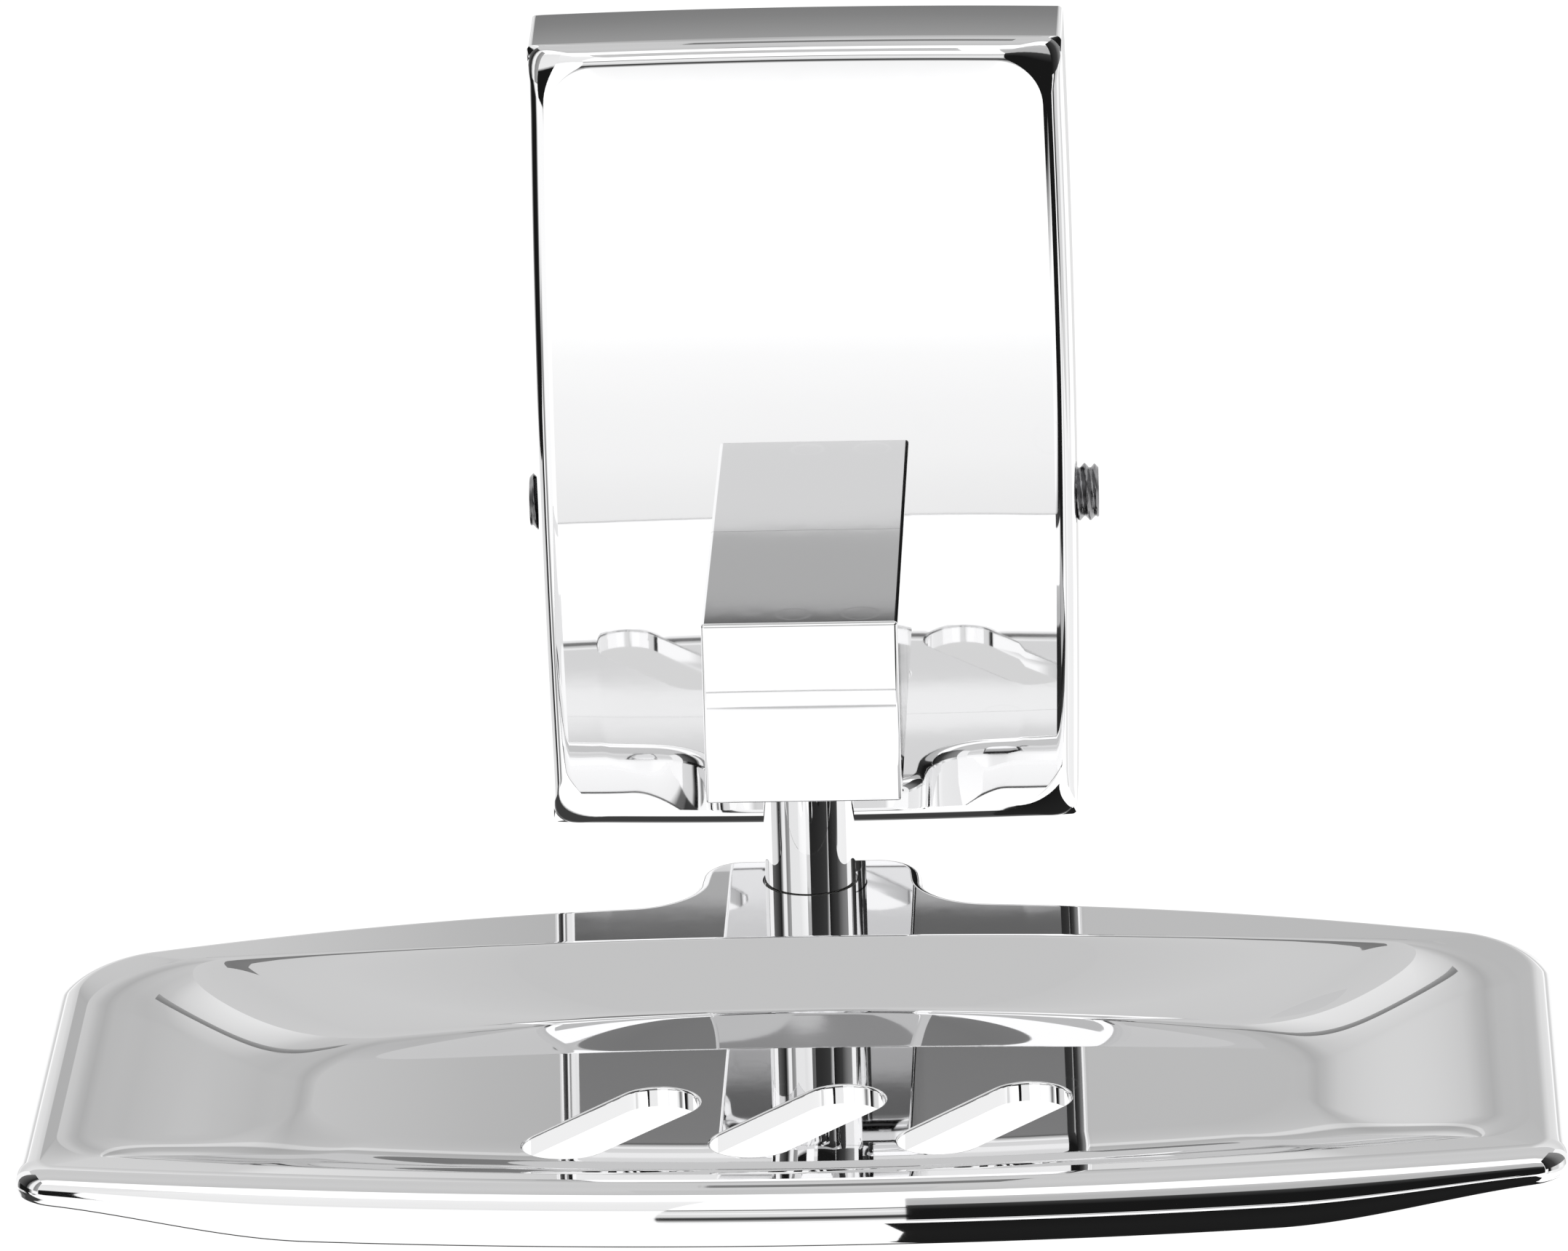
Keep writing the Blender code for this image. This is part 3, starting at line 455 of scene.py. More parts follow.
def slope_table(sizes):
    """Depth below the rim against distance in from the rim line, at the back, the sides and the front.

    Back: a straight slope with a rounded top edge and an arc at its foot. Sides: an S of third degree.
    Front: one arc that lies flat on the floor and meets the rim at an edge.
    """
    depth = sizes.depth
    back_run, side_run, front_run = 0.0062, 0.0210, 0.0202
    back = rounded_path(
        [(-0.0010, 0), (0, 0), (back_run - 0.0013, depth), (back_run + 0.0022, depth)],
        (0, 0.0005, sizes.foot_radius, 0), steps=14,
    )
    share = np.linspace(0, 1, 60)
    side = np.column_stack((share * side_run, depth * share * share * (3 - 2 * share)))
    radius = (front_run ** 2 + depth ** 2) / (2 * depth)
    into = np.linspace(0, front_run, 60)
    arc = np.column_stack((into, depth - radius + np.sqrt(radius ** 2 - (front_run - into) ** 2)))
    front = rounded_path(
        np.concatenate(([(-0.0010, 0)], arc)), np.concatenate(((0, 0.0004), np.zeros(59))), steps=8
    )
    return [table[np.append(np.diff(table[:, 1]) > 1e-9, True)] for table in (back[:-1], side, front)]


def dish_rings(sizes):
    """All rings of the dish, from its floor up the slopes, over the rim and its edge, and back below.

    Inside the rim each ring lies at one height, and its plan goes from the rim line to the floor's edge by
    the slopes' own tables. Outside it the plan is the dish's outline with the lug, moved in along its
    normals. Below, the rings follow the top at the floor's thickness, and the lug's foot hangs lower.
    """
    rim_z = dish_high.z
    half = sizes.width / 2
    depth = sizes.depth
    rim_in = np.array((0.0098, 0.0034, 0.0053))
    tables = slope_table(sizes)
    runs = np.array([table[-1, 0] for table in tables])
    rim_bow, floor_bow = np.array((0.0047, 0.0072)), np.array((0.0089, 0.0040))
    rim_round, floor_round = np.array((0.0100, 0.0040)), np.array((0.0070, 0.0070))

    def inner_plan(offsets, share):
        bows = rim_bow + (floor_bow - rim_bow) * share
        rounds = rim_round + (floor_round - rim_round) * share
        back, side, front = rim_in + offsets
        return dish_plan(half - side, -sizes.back - back, -sizes.front + front, *bows, *rounds)

    def inner(offsets, share, drop):
        plan, shares = inner_plan(offsets, share)
        dip = shares @ np.array((0, 0.00025, 0.00045))
        return ring(plan, rim_z - drop - dip * (1 - drop / depth))

    def down(step):
        """Offsets of the slopes at a step from rim to floor, their mean share of the runs, and the drop."""
        drop = depth * ramp(step, 0, 1)
        offsets = np.array([np.interp(drop, table[:, 1], table[:, 0]) for table in tables])
        if step == 1:
            offsets = runs
        return offsets, float(np.mean(offsets / runs)), drop

    rings = [inner(runs + 6e-5, 1, depth)]
    rings += [inner(*down(step)) for step in np.linspace(1, 0, 46)]
    starts = np.array([table[0, 0] for table in tables])
    rings.append(inner(starts - 3e-5, 0, 0))

    bows = sizes.back_bow, sizes.front_bow
    outline, weights = dish_plan(half, -sizes.back, -sizes.front, *bows, BACK_CORNER, FRONT_CORNER)
    is_lug = slice(BACK_EDGE_POINTS, BACK_EDGE_POINTS + LUG_POINTS)
    outline[is_lug] = lug_plan(sizes)
    across = inward(outline)
    lug = np.zeros(len(outline))
    lug[is_lug] = 1 - ramp(np.abs(np.linspace(-1, 1, LUG_POINTS)), 0.72, 1.0)
    shallow = weights[:, 2] * ramp(np.abs(outline[:, 0]), 0.62 * half, half)
    weights[:, 1] += shallow
    weights[:, 2] -= shallow

    def shared(back, side, front, at_lug):
        plain = weights @ np.array((back, side, front))
        return plain + (at_lug - plain) * lug

    def outer(offset, height):
        return ring(outline + across * offset[:, None], rim_z + height)

    edge = shared(0.0014, 0.0024, 0.0029, 0.0011)
    fall = shared(0.0014, 0.0020, 0.0032, 0.0011)
    rings.append(outer(edge + 5e-5, 0 * edge))
    for turn in np.linspace(0, math.pi / 2, 15):
        rings.append(outer(edge * (1 - math.sin(turn)), -fall * (1 - math.cos(turn))))
    skirt = shared(0.0052, 0.0030, 0.0056, sizes.lug_height)
    tuck = shared(0.00023, 0.00023, 0.0007, 0.00023)
    lip = 0.0004
    rings.append(outer(tuck * 0.5, -fall - (skirt - lip - fall) * 0.5))
    rings.append(outer(tuck - 1e-5, -(skirt - lip) + 5e-5))
    quarter = np.linspace(0, math.pi / 2, 6)
    for turn in quarter:
        rings.append(outer(tuck + lip * (1 - math.cos(turn)), -(skirt - lip) - lip * math.sin(turn)))
    thick = shared(0.0019, 0.0019, 0.0019, 0.0012)
    within = lip * (1 - lug)
    for turn in quarter[1:]:
        rings.append(outer(tuck + thick - lip * (1 - math.sin(turn)), -skirt + within * (1 - math.cos(turn))))
    groove = shared(0.0031, 0.0024, 0.0034, sizes.lug_height)
    rings.append(outer(tuck + thick + 1e-4, -groove - 0.5 * np.maximum(skirt - groove - lip, 0)))

    thickness = sizes.floor_thickness + 0.0001
    under = np.linspace(0, 1, 22)
    begin = outline + across * (tuck + thick + 2e-4)[:, None]
    for step in under:
        offsets, share, drop = down(step)
        blend = ramp(step, -0.02, 0.45)
        plan = begin * (1 - blend) + inner_plan(offsets, share)[0] * blend
        height = -groove * (1 - blend) - (thickness + drop) * blend
        rings.append(ring(plan, rim_z + height))
    rings = np.array(rings)
    below = slice(len(rings) - len(under) - 1, None)
    x, y, z = np.moveaxis(rings[below], -1, 0)
    near = 1 - ramp(np.abs(x), sizes.lug_half_width - 0.0002, sizes.lug_half_width + 0.0022)
    foot_front, foot_back = -0.0480, -0.0415
    foot = near * ramp(y, foot_front, foot_back)
    rings[below, :, 2] = z + foot * (rim_z - sizes.lug_height - z)
    return rings


def stadium(length_over, width, steps=20):
    """A slot's outline with round ends along X, and its outward unit vectors."""
    radius = width / 2
    reach = length_over / 2 - radius
    turn = np.linspace(-math.pi / 2, math.pi / 2, steps)
    out = np.column_stack((np.cos(turn), np.sin(turn)))
    right = out * radius + (reach, 0)
    return np.concatenate((right, -right)), np.concatenate((out, -out))


def slot_rings(sizes, number):
    """One slot's cutter: a straight wall, then an arc that flares out to meet the dish's floor.

    Each point's top height is the floor's, plus the square of how far it is into the front slope over
    twice that slope's radius.
    """
    plan, out = stadium(sizes.slot_length, sizes.slot_width)
    cos, sin = math.cos(sizes.slot_angle), math.sin(sizes.slot_angle)
    turn = np.array(((cos, sin), (-sin, cos)))
    centre = ((number - 1) * sizes.slot_pitch, -sizes.slot_centre)
    plan, out = plan @ turn + centre, out @ turn
    floor = dish_high.z - sizes.depth
    floor_front, floor_bow, floor_half, slope_radius, beyond = -0.0791, 0.0040, 0.044, 0.0398, 0.004
    edge = floor_front + floor_bow * (plan[:, 0] / floor_half) ** 2
    top = floor + np.maximum(edge - plan[:, 1], 0) ** 2 / (2 * slope_radius)
    radius = sizes.slot_edge
    rings = [ring(plan, floor - beyond), ring(plan, top - radius - 5e-5)]
    for angle in np.linspace(0, math.radians(78), 7):
        rings.append(ring(plan + out * radius * (1 - math.cos(angle)), top - radius * (1 - math.sin(angle))))
    flare = plan + out * radius * 1.4
    rings += [ring(flare, top + radius * 0.11), ring(flare, top + beyond)]
    return np.array(rings)


def swivel_profile(sizes):
    """The hole through the lug: a recess for the post's foot, the bush's bore and a counterbore."""
    recess, bore, counterbore = 0.00445, 0.0040, 0.0046
    top = dish_high.z
    bottom = top - sizes.lug_height
    floor, roof, beyond = top - 0.0014, bottom + 0.0030, 0.001
    return [
        (recess, top + beyond), (recess, floor), (bore, floor),
        (bore, roof), (counterbore, roof), (counterbore, bottom - beyond),
    ]


def cover_plan(half_x, half_z, corner):
    """Rounded rectangle in X and Z whose sides bow: each coordinate shrinks with the other's square."""
    bow_x, bow_z = 0.0005, 0.00035
    quarter = np.linspace(0, math.pi / 2, 15)
    side = np.linspace(-1, 1, 25)[1:-1]
    x = half_x - corner + corner * np.sin(quarter)
    z = half_z - corner + corner * np.cos(quarter)
    edge_x, edge_z = side * (half_x - corner), -side * (half_z - corner)
    right, top = np.full(len(side), half_x), np.full(len(side), half_z)
    half = np.array((
        np.concatenate((edge_x, x, right, x[::-1])), np.concatenate((top, z, edge_z, -z[::-1])),
    ))
    xs, zs = np.concatenate((half, -half), axis=1)
    return xs * (1 - bow_x / half_x * (zs / half_z) ** 2), zs * (1 - bow_z / half_z * (xs / half_x) ** 2)


def cover_rings(sizes):
    """The cover: its inner wall, the rim at the wall, the outer side, the rolled edge and the face.

    The outer profile gives depth against distance in from the side: straight, an arc, then a very slight
    crown. The corner radius grows with the sine of the arc's angle from the back corner's to the face's.
    """
    half_x, half_z = sizes.cover_width / 2, sizes.cover_height / 2
    wall = sizes.cover_wall
    depth = sizes.cover_depth
    outer = rounded_path(
        [(0, 0), (0, -depth + 0.00005), (0.0050, -depth), (0.0120, -depth)],
        (0, sizes.cover_edge, 0.06, 0), steps=16,
    )[:-1]
    outer[:, 1] = np.maximum(outer[:, 1], -depth)
    outer[:, 0] += 0.0005 * (0.4 + outer[:, 1] / depth) ** 2
    inner = rounded_path(
        [(wall + 0.004, -depth + wall), (wall, -depth + wall), (wall, 0)], (0, 0.0008, 0), steps=6
    )
    rim = rounded_path([(wall, -0.001), (wall, 0), (0, 0), (0, -0.001)], (0, 2e-4, 2e-4, 0), steps=4)[1:-1]
    rings = []
    for inset, y in np.concatenate((inner[:-1], rim, outer[1:])):
        share = 0.0 if y > -depth + sizes.cover_edge else min(inset / sizes.cover_edge, 1.0)
        grown = math.sqrt(max(0.0, 1 - (1 - share) ** 2))
        corner = sizes.cover_back_corner + (sizes.cover_face_corner - sizes.cover_back_corner) * grown
        x, z = cover_plan(half_x - inset, half_z - inset, corner)
        rings.append(np.column_stack((x, np.full(len(x), y), z)))
    return np.array(rings)


def rod(radius, low, high, steps=48):
    return turned([(radius, low), (radius, high)], steps)


def arm_rings(sizes):
    """The arm: a rounded square carried along Y, drawn in along an arc at its front edge."""
    edge = sizes.arm_edge
    back, front = -sizes.cover_depth - 0.00002, -sizes.arm_front
    profile = rounded_path([(0, back), (0, front), (0.004, front)], (0, edge, 0), steps=6)
    rings = []
    for inset, y in profile:
        half_x, half_z = sizes.arm_width / 2 - inset, sizes.arm_height / 2 - inset
        square = [(-half_x, half_z), (half_x, half_z), (half_x, -half_z), (-half_x, -half_z)]
        radius = max(edge - inset, 2e-5)
        plan = rounded_path(square, [radius] * 4, steps=6, closed=True)
        rings.append(np.column_stack((plan[:, 0], np.full(len(plan), y), plan[:, 1] - sizes.arm_drop)))
    return np.array(rings)


def threaded(radius, depth, pitch, low, high, around, per_turn):
    """Grid of a threaded shank: radius minus depth times a wave of height over pitch minus the turn.

    The wave is a triangle with a flattened crest. At both ends the surface draws in over taper.
    """
    taper, steepness, crest = 0.0004, 1.35, 0.12
    rows = int((high - low) / pitch * per_turn)
    height = np.linspace(low, high, rows)[:, None]
    turn = full_turn(around)
    phase = (height / pitch - turn / (2 * math.pi)) % 1.0
    wave = np.clip(np.abs(phase * 2 - 1) * steepness - crest, 0, 1)
    end = np.minimum(np.clip((height - low) / taper, 0, 1), np.clip((high - height) / taper, 0, 1))
    return round_points(radius - depth * np.maximum(wave, 1 - end), turn, height)


def hexagon(across, around, height):
    """A ring on a hexagon: half the width across flats over the cosine of the angle off each flat."""
    turn = full_turn(around)
    off = (turn % (math.pi / 3)) - math.pi / 6
    return round_points(across / 2 / np.cos(off), turn, height)


def grub_rings(sizes):
    """A grub screw: flat inner end, threaded shank, and a hexagon socket sunk into its outer end."""
    radius, around = sizes.grub_diameter / 2, 72
    shank = threaded(radius, sizes.grub_depth, sizes.grub_pitch, -sizes.grub_length, 0, around, 14)
    root = radius - sizes.grub_depth
    lip = turned([(root - 1e-4, 0), (root - 2e-4, 0)], around)
    width, depth = sizes.socket_width, sizes.socket_depth
    steps = (width + 0.0003, 0), (width, -0.00015), (width, -depth)
    socket = [hexagon(across, around, height) for across, height in steps]
    point = turned([(0.0003, -depth - 0.0006)], around)
    return np.concatenate((shank, lip, socket, point))


def wall_screw_rings(sizes, whole):
    """A pan head, a plain neck and a threaded shank that ends in a cone; +Z points into the wall."""
    around, neck_end, thread_depth = 48, 0.0052, 5e-4
    head = turned([
        (0.0010, 0.0), (0.0024, 0.0001), (0.0034, 0.0008), (0.0038, 0.0019), (0.0038, 0.0026),
        (0.0022, 0.0026), (0.0017, 0.0029), (0.0015, 0.0050),
    ], around)
    radius, pitch = sizes.screw_diameter / 2, sizes.screw_pitch
    shank = threaded(radius, thread_depth, pitch, neck_end, whole - 0.004, around, 10)
    tip = turned([(0.0010, whole - 0.0030), (0.0002, whole)], around)
    return np.concatenate((head, shank, tip))


def cross_rings():
    """A cross recess that narrows with depth: a radius that swells towards four arms.

    Each arm's radius is half its width over the sine or cosine of the turn, and the reach at most.
    """
    half_width, reach = 0.0005, 0.0020
    turn = full_turn(48)
    waves = np.maximum(np.abs((np.sin(turn), np.cos(turn))), 1e-6)
    arms = np.minimum(half_width / waves, reach).max(axis=0)
    steps = (1.06, -0.0004), (1.0, 0.0002), (0.55, 0.0017)
    return np.array([round_points(arms * share, turn, height) for share, height in steps])


def plug_rings(sizes, plug_length):
    """A wall plug: sawtooth ribs around its length and two grooves along it, with a bore for the screw.

    The outer radius loses the rib's depth times the share of the way to the next rib, and a fixed depth
    inside each groove.
    """
    around, rows, rib_pitch, groove_depth, groove_angle = 60, 120, 0.0025, 0.0005, 0.11
    radius = sizes.plug_diameter / 2
    turn = full_turn(around)
    height = np.linspace(0.0012, plug_length - 0.0015, rows)[:, None]
    saw = (height / rib_pitch) % 1.0
    off = np.abs((turn + math.pi / 2) % math.pi - math.pi / 2)
    groove = np.exp(-(off / groove_angle) ** 4) * ramp(height, 0.005, 0.006)
    shell = round_points(radius - sizes.plug_rib * saw - groove_depth * groove, turn, height)
    mouth = turned([
        (0.0023, 0.0002), (0.0025, 0), (radius - 1e-4, 0), (radius, 0.0002), (radius, 0.0010),
    ], around)
    tip = turned([
        (0.0020, plug_length - 0.0002), (0.0018, plug_length), (0.0008, plug_length),
        (0.0007, plug_length - 0.0015), (0.0023, plug_length - 0.0030),
    ], around)
    return np.concatenate((mouth, shell, tip))


def connect(made, inputs):
    """Give a node's inputs, by socket name or number, their values or the outputs that feed them."""
    for key, value in inputs.items():
        if isinstance(value, bpy.types.NodeSocket):
            made.id_data.links.new(value, made.inputs[key])
        else:
            made.inputs[key].default_value = value
    return made


def node(tree, kind, inputs=None, **settings):
    """Add a shader node with its settings and inputs."""
    made = tree.nodes.new("ShaderNode" + kind)
    for key, value in settings.items():
        setattr(made, key, value)
    return connect(made, inputs or {})


def maths(tree, operation, *values, clamp=False):
    """The result of one sum or comparison."""
    return node(tree, "Math", dict(enumerate(values)), operation=operation, use_clamp=clamp).outputs[0]


def spread(tree, value, low, high, out_low=0.0, out_high=1.0, smooth=True):
    """Map a value from one range to another, held at its ends."""
    inputs = {"Value": value, "From Min": low, "From Max": high, "To Min": out_low, "To Max": out_high}
    kind = "SMOOTHSTEP" if smooth else "LINEAR"
    return node(tree, "MapRange", inputs, interpolation_type=kind).outputs["Result"]


def tinted(tree, share, low, high):
    """A colour between two colours, by a share that changes over the surface."""
    inputs = {"Factor": share, 6: (*low, 1), 7: (*high, 1)}
    return node(tree, "Mix", inputs, data_type="RGBA").outputs[2]


def noise(tree, vector, scale, detail):
    return node(tree, "TexNoise", {"Vector": vector, "Scale": scale, "Detail": detail}).outputs[0]


def bump(tree, distance, height):
    """Normal of a surface that stands out by its height, between 0 and 1, times a distance."""
    return node(tree, "Bump", {"Strength": 1.0, "Distance": distance, "Height": height}).outputs[0]


def effect(title, sockets, *outputs, kind="Float"):
    """Turn a function that draws a shader node group into one that finds or makes the group.

    The function gets the group's tree, its vector and its sockets, and gives what each output shows.
    """
    def wrap(draw):
        def find_or_make():
            if title in bpy.data.node_groups:
                return bpy.data.node_groups[title]
            tree = bpy.data.node_groups.new(title, "ShaderNodeTree")
            tree.interface.new_socket("Vector", in_out="INPUT", socket_type="NodeSocketVector")
            for label, value in sockets.items():
                socket = tree.interface.new_socket(label, in_out="INPUT", socket_type="NodeSocketFloat")
                socket.default_value = value
            for label in outputs:
                tree.interface.new_socket(label, in_out="OUTPUT", socket_type="NodeSocket" + kind)
            given = tree.nodes.new("NodeGroupInput").outputs
            shown = draw(tree, *(given[label] for label in ("Vector", *sockets)))
            connect(tree.nodes.new("NodeGroupOutput"), dict(zip(outputs, shown)))
            return tree
        return find_or_make
    return wrap


@effect("Polish waves", {"Scale": 60.0, "Height": 1e-5}, "Normal", kind="Vector")
def polish_waves(tree, where, scale, distance):
    """Normal of a polished surface that isn't quite flat: a slow noise and an eighth of a quicker one."""
    quick = noise(tree, where, maths(tree, "MULTIPLY", scale, 4.3), 2.0)
    return [bump(tree, distance, maths(tree, "MULTIPLY_ADD", quick, 0.12, noise(tree, where, scale, 1.0)))]


@effect("Wipe marks", {"Scale": 40.0}, "Mask")
def wipe_marks(tree, where, scale):
    """Mask of faint smears: a stretched noise's peaks, kept only inside the patches of a broad noise."""
    drawn = node(tree, "Mapping", {"Vector": where, "Rotation": (0.3, 0.5, 0.4), "Scale": (1, 5, 5)})
    smear = noise(tree, drawn.outputs[0], scale, 5.0)
    patch = noise(tree, where, maths(tree, "MULTIPLY", scale, 0.45), 1.0)
    return [maths(tree, "MULTIPLY", spread(tree, smear, 0.5, 0.75), spread(tree, patch, 0.48, 0.66))]


@effect("Dried drops", {"Scale": 150.0}, "Mask")
def dried_drops(tree, where, scale):
    """Mask of dried water drops: thin rings at one distance from some of a cell pattern's points."""
    cells = node(tree, "TexVoronoi", {"Vector": where, "Scale": scale}).outputs
    away = maths(tree, "ABSOLUTE", maths(tree, "SUBTRACT", cells["Distance"], 0.30))
    rim = spread(tree, away, 0.05, 0.0)
    film = spread(tree, cells["Distance"], 0.32, 0.22, 0.0, 0.25)
    split = node(tree, "SeparateColor", {"Color": cells["Color"]})
    some = maths(tree, "GREATER_THAN", split.outputs[0], 0.86)
    return [maths(tree, "MULTIPLY", maths(tree, "MAXIMUM", rim, film), some)]


@effect("Hair scratches", {"Scale": 70.0}, "Mask")
def hair_scratches(tree, where, scale):
    """Mask of hair scratches: the cell edges of a long-drawn pattern, in patches."""
    drawn = node(tree, "Mapping", {"Vector": where, "Rotation": (0.2, 0.9, 0.6), "Scale": (1, 16, 16)})
    inputs = {"Vector": drawn.outputs[0], "Scale": scale}
    cells = node(tree, "TexVoronoi", inputs, feature="DISTANCE_TO_EDGE")
    line = spread(tree, cells.outputs["Distance"], 0.035, 0.0)
    return [maths(tree, "MULTIPLY", line, spread(tree, noise(tree, where, scale, 2.0), 0.55, 0.7))]


@effect("Grain", {"Scale": 900.0, "Draw": 1.0}, "Mask", "Tone")
def fine_grain(tree, where, scale, draw):
    """Fine grain between 0 and 1, and a broad tone.

    The grain is two noises, the second drawn out along one axis like tool marks.
    """
    squeeze = node(tree, "CombineXYZ", {0: 1.0, 1: 1.0, 2: draw})
    drawn = node(tree, "VectorMath", {0: where, 1: squeeze.outputs[0]}, operation="MULTIPLY")
    marks = maths(tree, "MULTIPLY", noise(tree, drawn.outputs[0], scale, 4.0), 0.6)
    mask = maths(tree, "MULTIPLY_ADD", noise(tree, where, scale, 3.0), 0.4, marks)
    broad = noise(tree, where, maths(tree, "MULTIPLY", scale, 0.12), 3.0)
    return [mask, spread(tree, broad, 0.35, 0.65)]


def use(tree, group, vector, **values):
    """Place a shared effect in a material with its own values."""
    made = tree.nodes.new("ShaderNodeGroup")
    made.node_tree = group()
    connect(made, {"Vector": vector, **{key.capitalize(): value for key, value in values.items()}})
    return made.outputs


def new_material(name, shift):
    """A material with its Principled shader and Object coordinates moved by its own shift."""
    material = bpy.data.materials.new(name)
    material.use_nodes = True
    tree = material.node_tree
    shader = tree.nodes["Principled BSDF"]
    where = node(tree, "TexCoord").outputs["Object"]
    moved = node(tree, "Mapping", {"Vector": where, "Location": shift}).outputs[0]
    return material, tree, shader, moved


def made_once(finish):
    """Wrap a finish so that it makes the material of one name only once."""
    def find_or_make(name, *values, **settings):
        name = "soap_" + name
        return bpy.data.materials.get(name) or finish(name, *values, **settings)
    return find_or_make


def shaded(base, *shades):
    """A colour with each of its three values made darker by its own shade."""
    return tuple(value * shade for value, shade in zip(base, shades))


@made_once
def chrome(name, finish, shift, wave_scale=45.0):
    """Polished chrome plate: faint waves, with smears, dried drops and hair scratches in its gloss."""
    material, tree, shader, where = new_material(name, shift)
    waves = use(tree, polish_waves, where, scale=wave_scale, height=finish.chrome_wave * 1e-4)
    smears = use(tree, wipe_marks, where, scale=38.0)
    drops = use(tree, dried_drops, where, scale=170.0)
    scratches = use(tree, hair_scratches, where, scale=65.0)
    amount = finish.chrome_marks
    dried = maths(tree, "MULTIPLY", drops["Mask"], 0.6 * amount)
    film = maths(tree, "MULTIPLY_ADD", smears["Mask"], 0.5 * amount, dried)
    dull = maths(tree, "MULTIPLY_ADD", scratches["Mask"], 0.25 * amount, film)
    veil = maths(tree, "MULTIPLY", dull, 0.8, clamp=True)
    clean = tuple(finish.chrome)
    connect(shader, {
        "Base Color": tinted(tree, veil, clean, shaded(clean, 0.90, 0.90, 0.89)),
        "Roughness": maths(tree, "MULTIPLY_ADD", dull, 0.30, finish.chrome_roughness),
        "Normal": waves["Normal"], "Metallic": 1.0,
    })
    return material


def grained(name, base, dark, shift, gloss, scale, draw, depth, metallic):
    """A tone mottled between dark and base, and a grain in the gloss's range and in the surface."""
    material, tree, shader, where = new_material(name, shift)
    grain = use(tree, fine_grain, where, scale=scale, draw=draw)
    connect(shader, {
        "Base Color": tinted(tree, grain["Tone"], dark, base),
        "Roughness": spread(tree, grain["Mask"], 0.3, 0.7, *gloss, smooth=False),
        "Normal": bump(tree, depth, grain["Mask"]), "Metallic": metallic,
    })
    return material


@made_once
def steel(name, base, shift, roughness=0.26, scale=900.0, draw=0.08):
    """Plated or turned steel: a mottled tone, drawn tool marks in the gloss and in the surface."""
    dark, gloss = shaded(base, 0.86, 0.85, 0.83), (roughness - 0.06, roughness + 0.12)
    return grained(name, base, dark, shift, gloss, scale, draw, 4e-6, 1.0)


@made_once
def nylon(name, base, shift):
    """Moulded nylon: slightly cloudy, with a fine matt grain."""
    return grained(name, base, shaded(base, 0.9, 0.9, 0.9), shift, (0.42, 0.58), 1400.0, 1.0, 1.2e-5, 0.0)


class SOAP_OT_dish(bpy.types.Operator):
    """Build the bowed dish with its lug, drain slots and swivel hole"""

    bl_idname = "soap.dish"
    bl_label = "Dish"

    def execute(self, context):
        sizes = context.scene.soap_dish
        holder = context.scene.soap_holder
        finish = context.scene.soap_finish
        plate = chrome("dish_chrome", finish, (0.3, 0.1, 0.2))
        inside = chrome("dish_cut_chrome", finish, (0.1, 0.3, 0.2))
        dish = surface("dish_shell", dish_rings(sizes), plate)
        for number in range(3):
            cut(dish, surface(f"slot_cutter_{number}", slot_rings(sizes, number), inside))
        hole = turned(swivel_profile(sizes)) + (0, holder.post_setback - holder.arm_front, 0)
        cut(dish, surface("swivel_cutter", hole, inside))
        sharpen(dish)
        stands_for(dish, "dish_side", "dish_chrome", "dish")
        return {"FINISHED"}


class SOAP_OT_cover(bpy.types.Operator):
    """Build the wall cover with its two bosses and their holes"""

    bl_idname = "soap.cover"
    bl_label = "Wall cover"

    def execute(self, context):
        sizes = context.scene.soap_holder
        fixing = context.scene.soap_fixing
        finish = context.scene.soap_finish
        plate = chrome("cover_chrome", finish, (0.5, 0.2, 0.7))
        inside = chrome("cover_cut_chrome", finish, (0.2, 0.5, 0.7))
        cover = surface("cover_shell", cover_rings(sizes), plate)
        half, wall = sizes.cover_width / 2, sizes.cover_wall
        boss_radius, boss_height, gap = 0.0045, 0.0021, 0.0002
        boss = rod(boss_radius, half - wall - boss_height, half - wall / 2)
        hole = rod(fixing.grub_diameter / 2 + gap, 0.015, 0.030, 72)
        place = (0, -sizes.cover_depth / 2, -fixing.grub_drop)
        for name, shape, operation in (("boss", boss, "UNION"), ("grub_hole", hole, "DIFFERENCE")):
            for side in (-1, 1):
                cut(cover, surface(name, aim(shape, place, (side, 0, 0)), inside), operation)
        for rise, radius in ((ARM_SCREW_RISE, 0.0028), (ARM_DOWEL_RISE, 0.0018)):
            hole = aim(rod(radius, 0.0080, 0.0130), (0, 0, rise - sizes.arm_drop), (0, -1, 0))
            cut(cover, surface("arm_fixing_hole", hole, inside))
        sharpen(cover)
        stands_for(cover, "wall_side", "cover_chrome", "wall_cover")
        return {"FINISHED"}


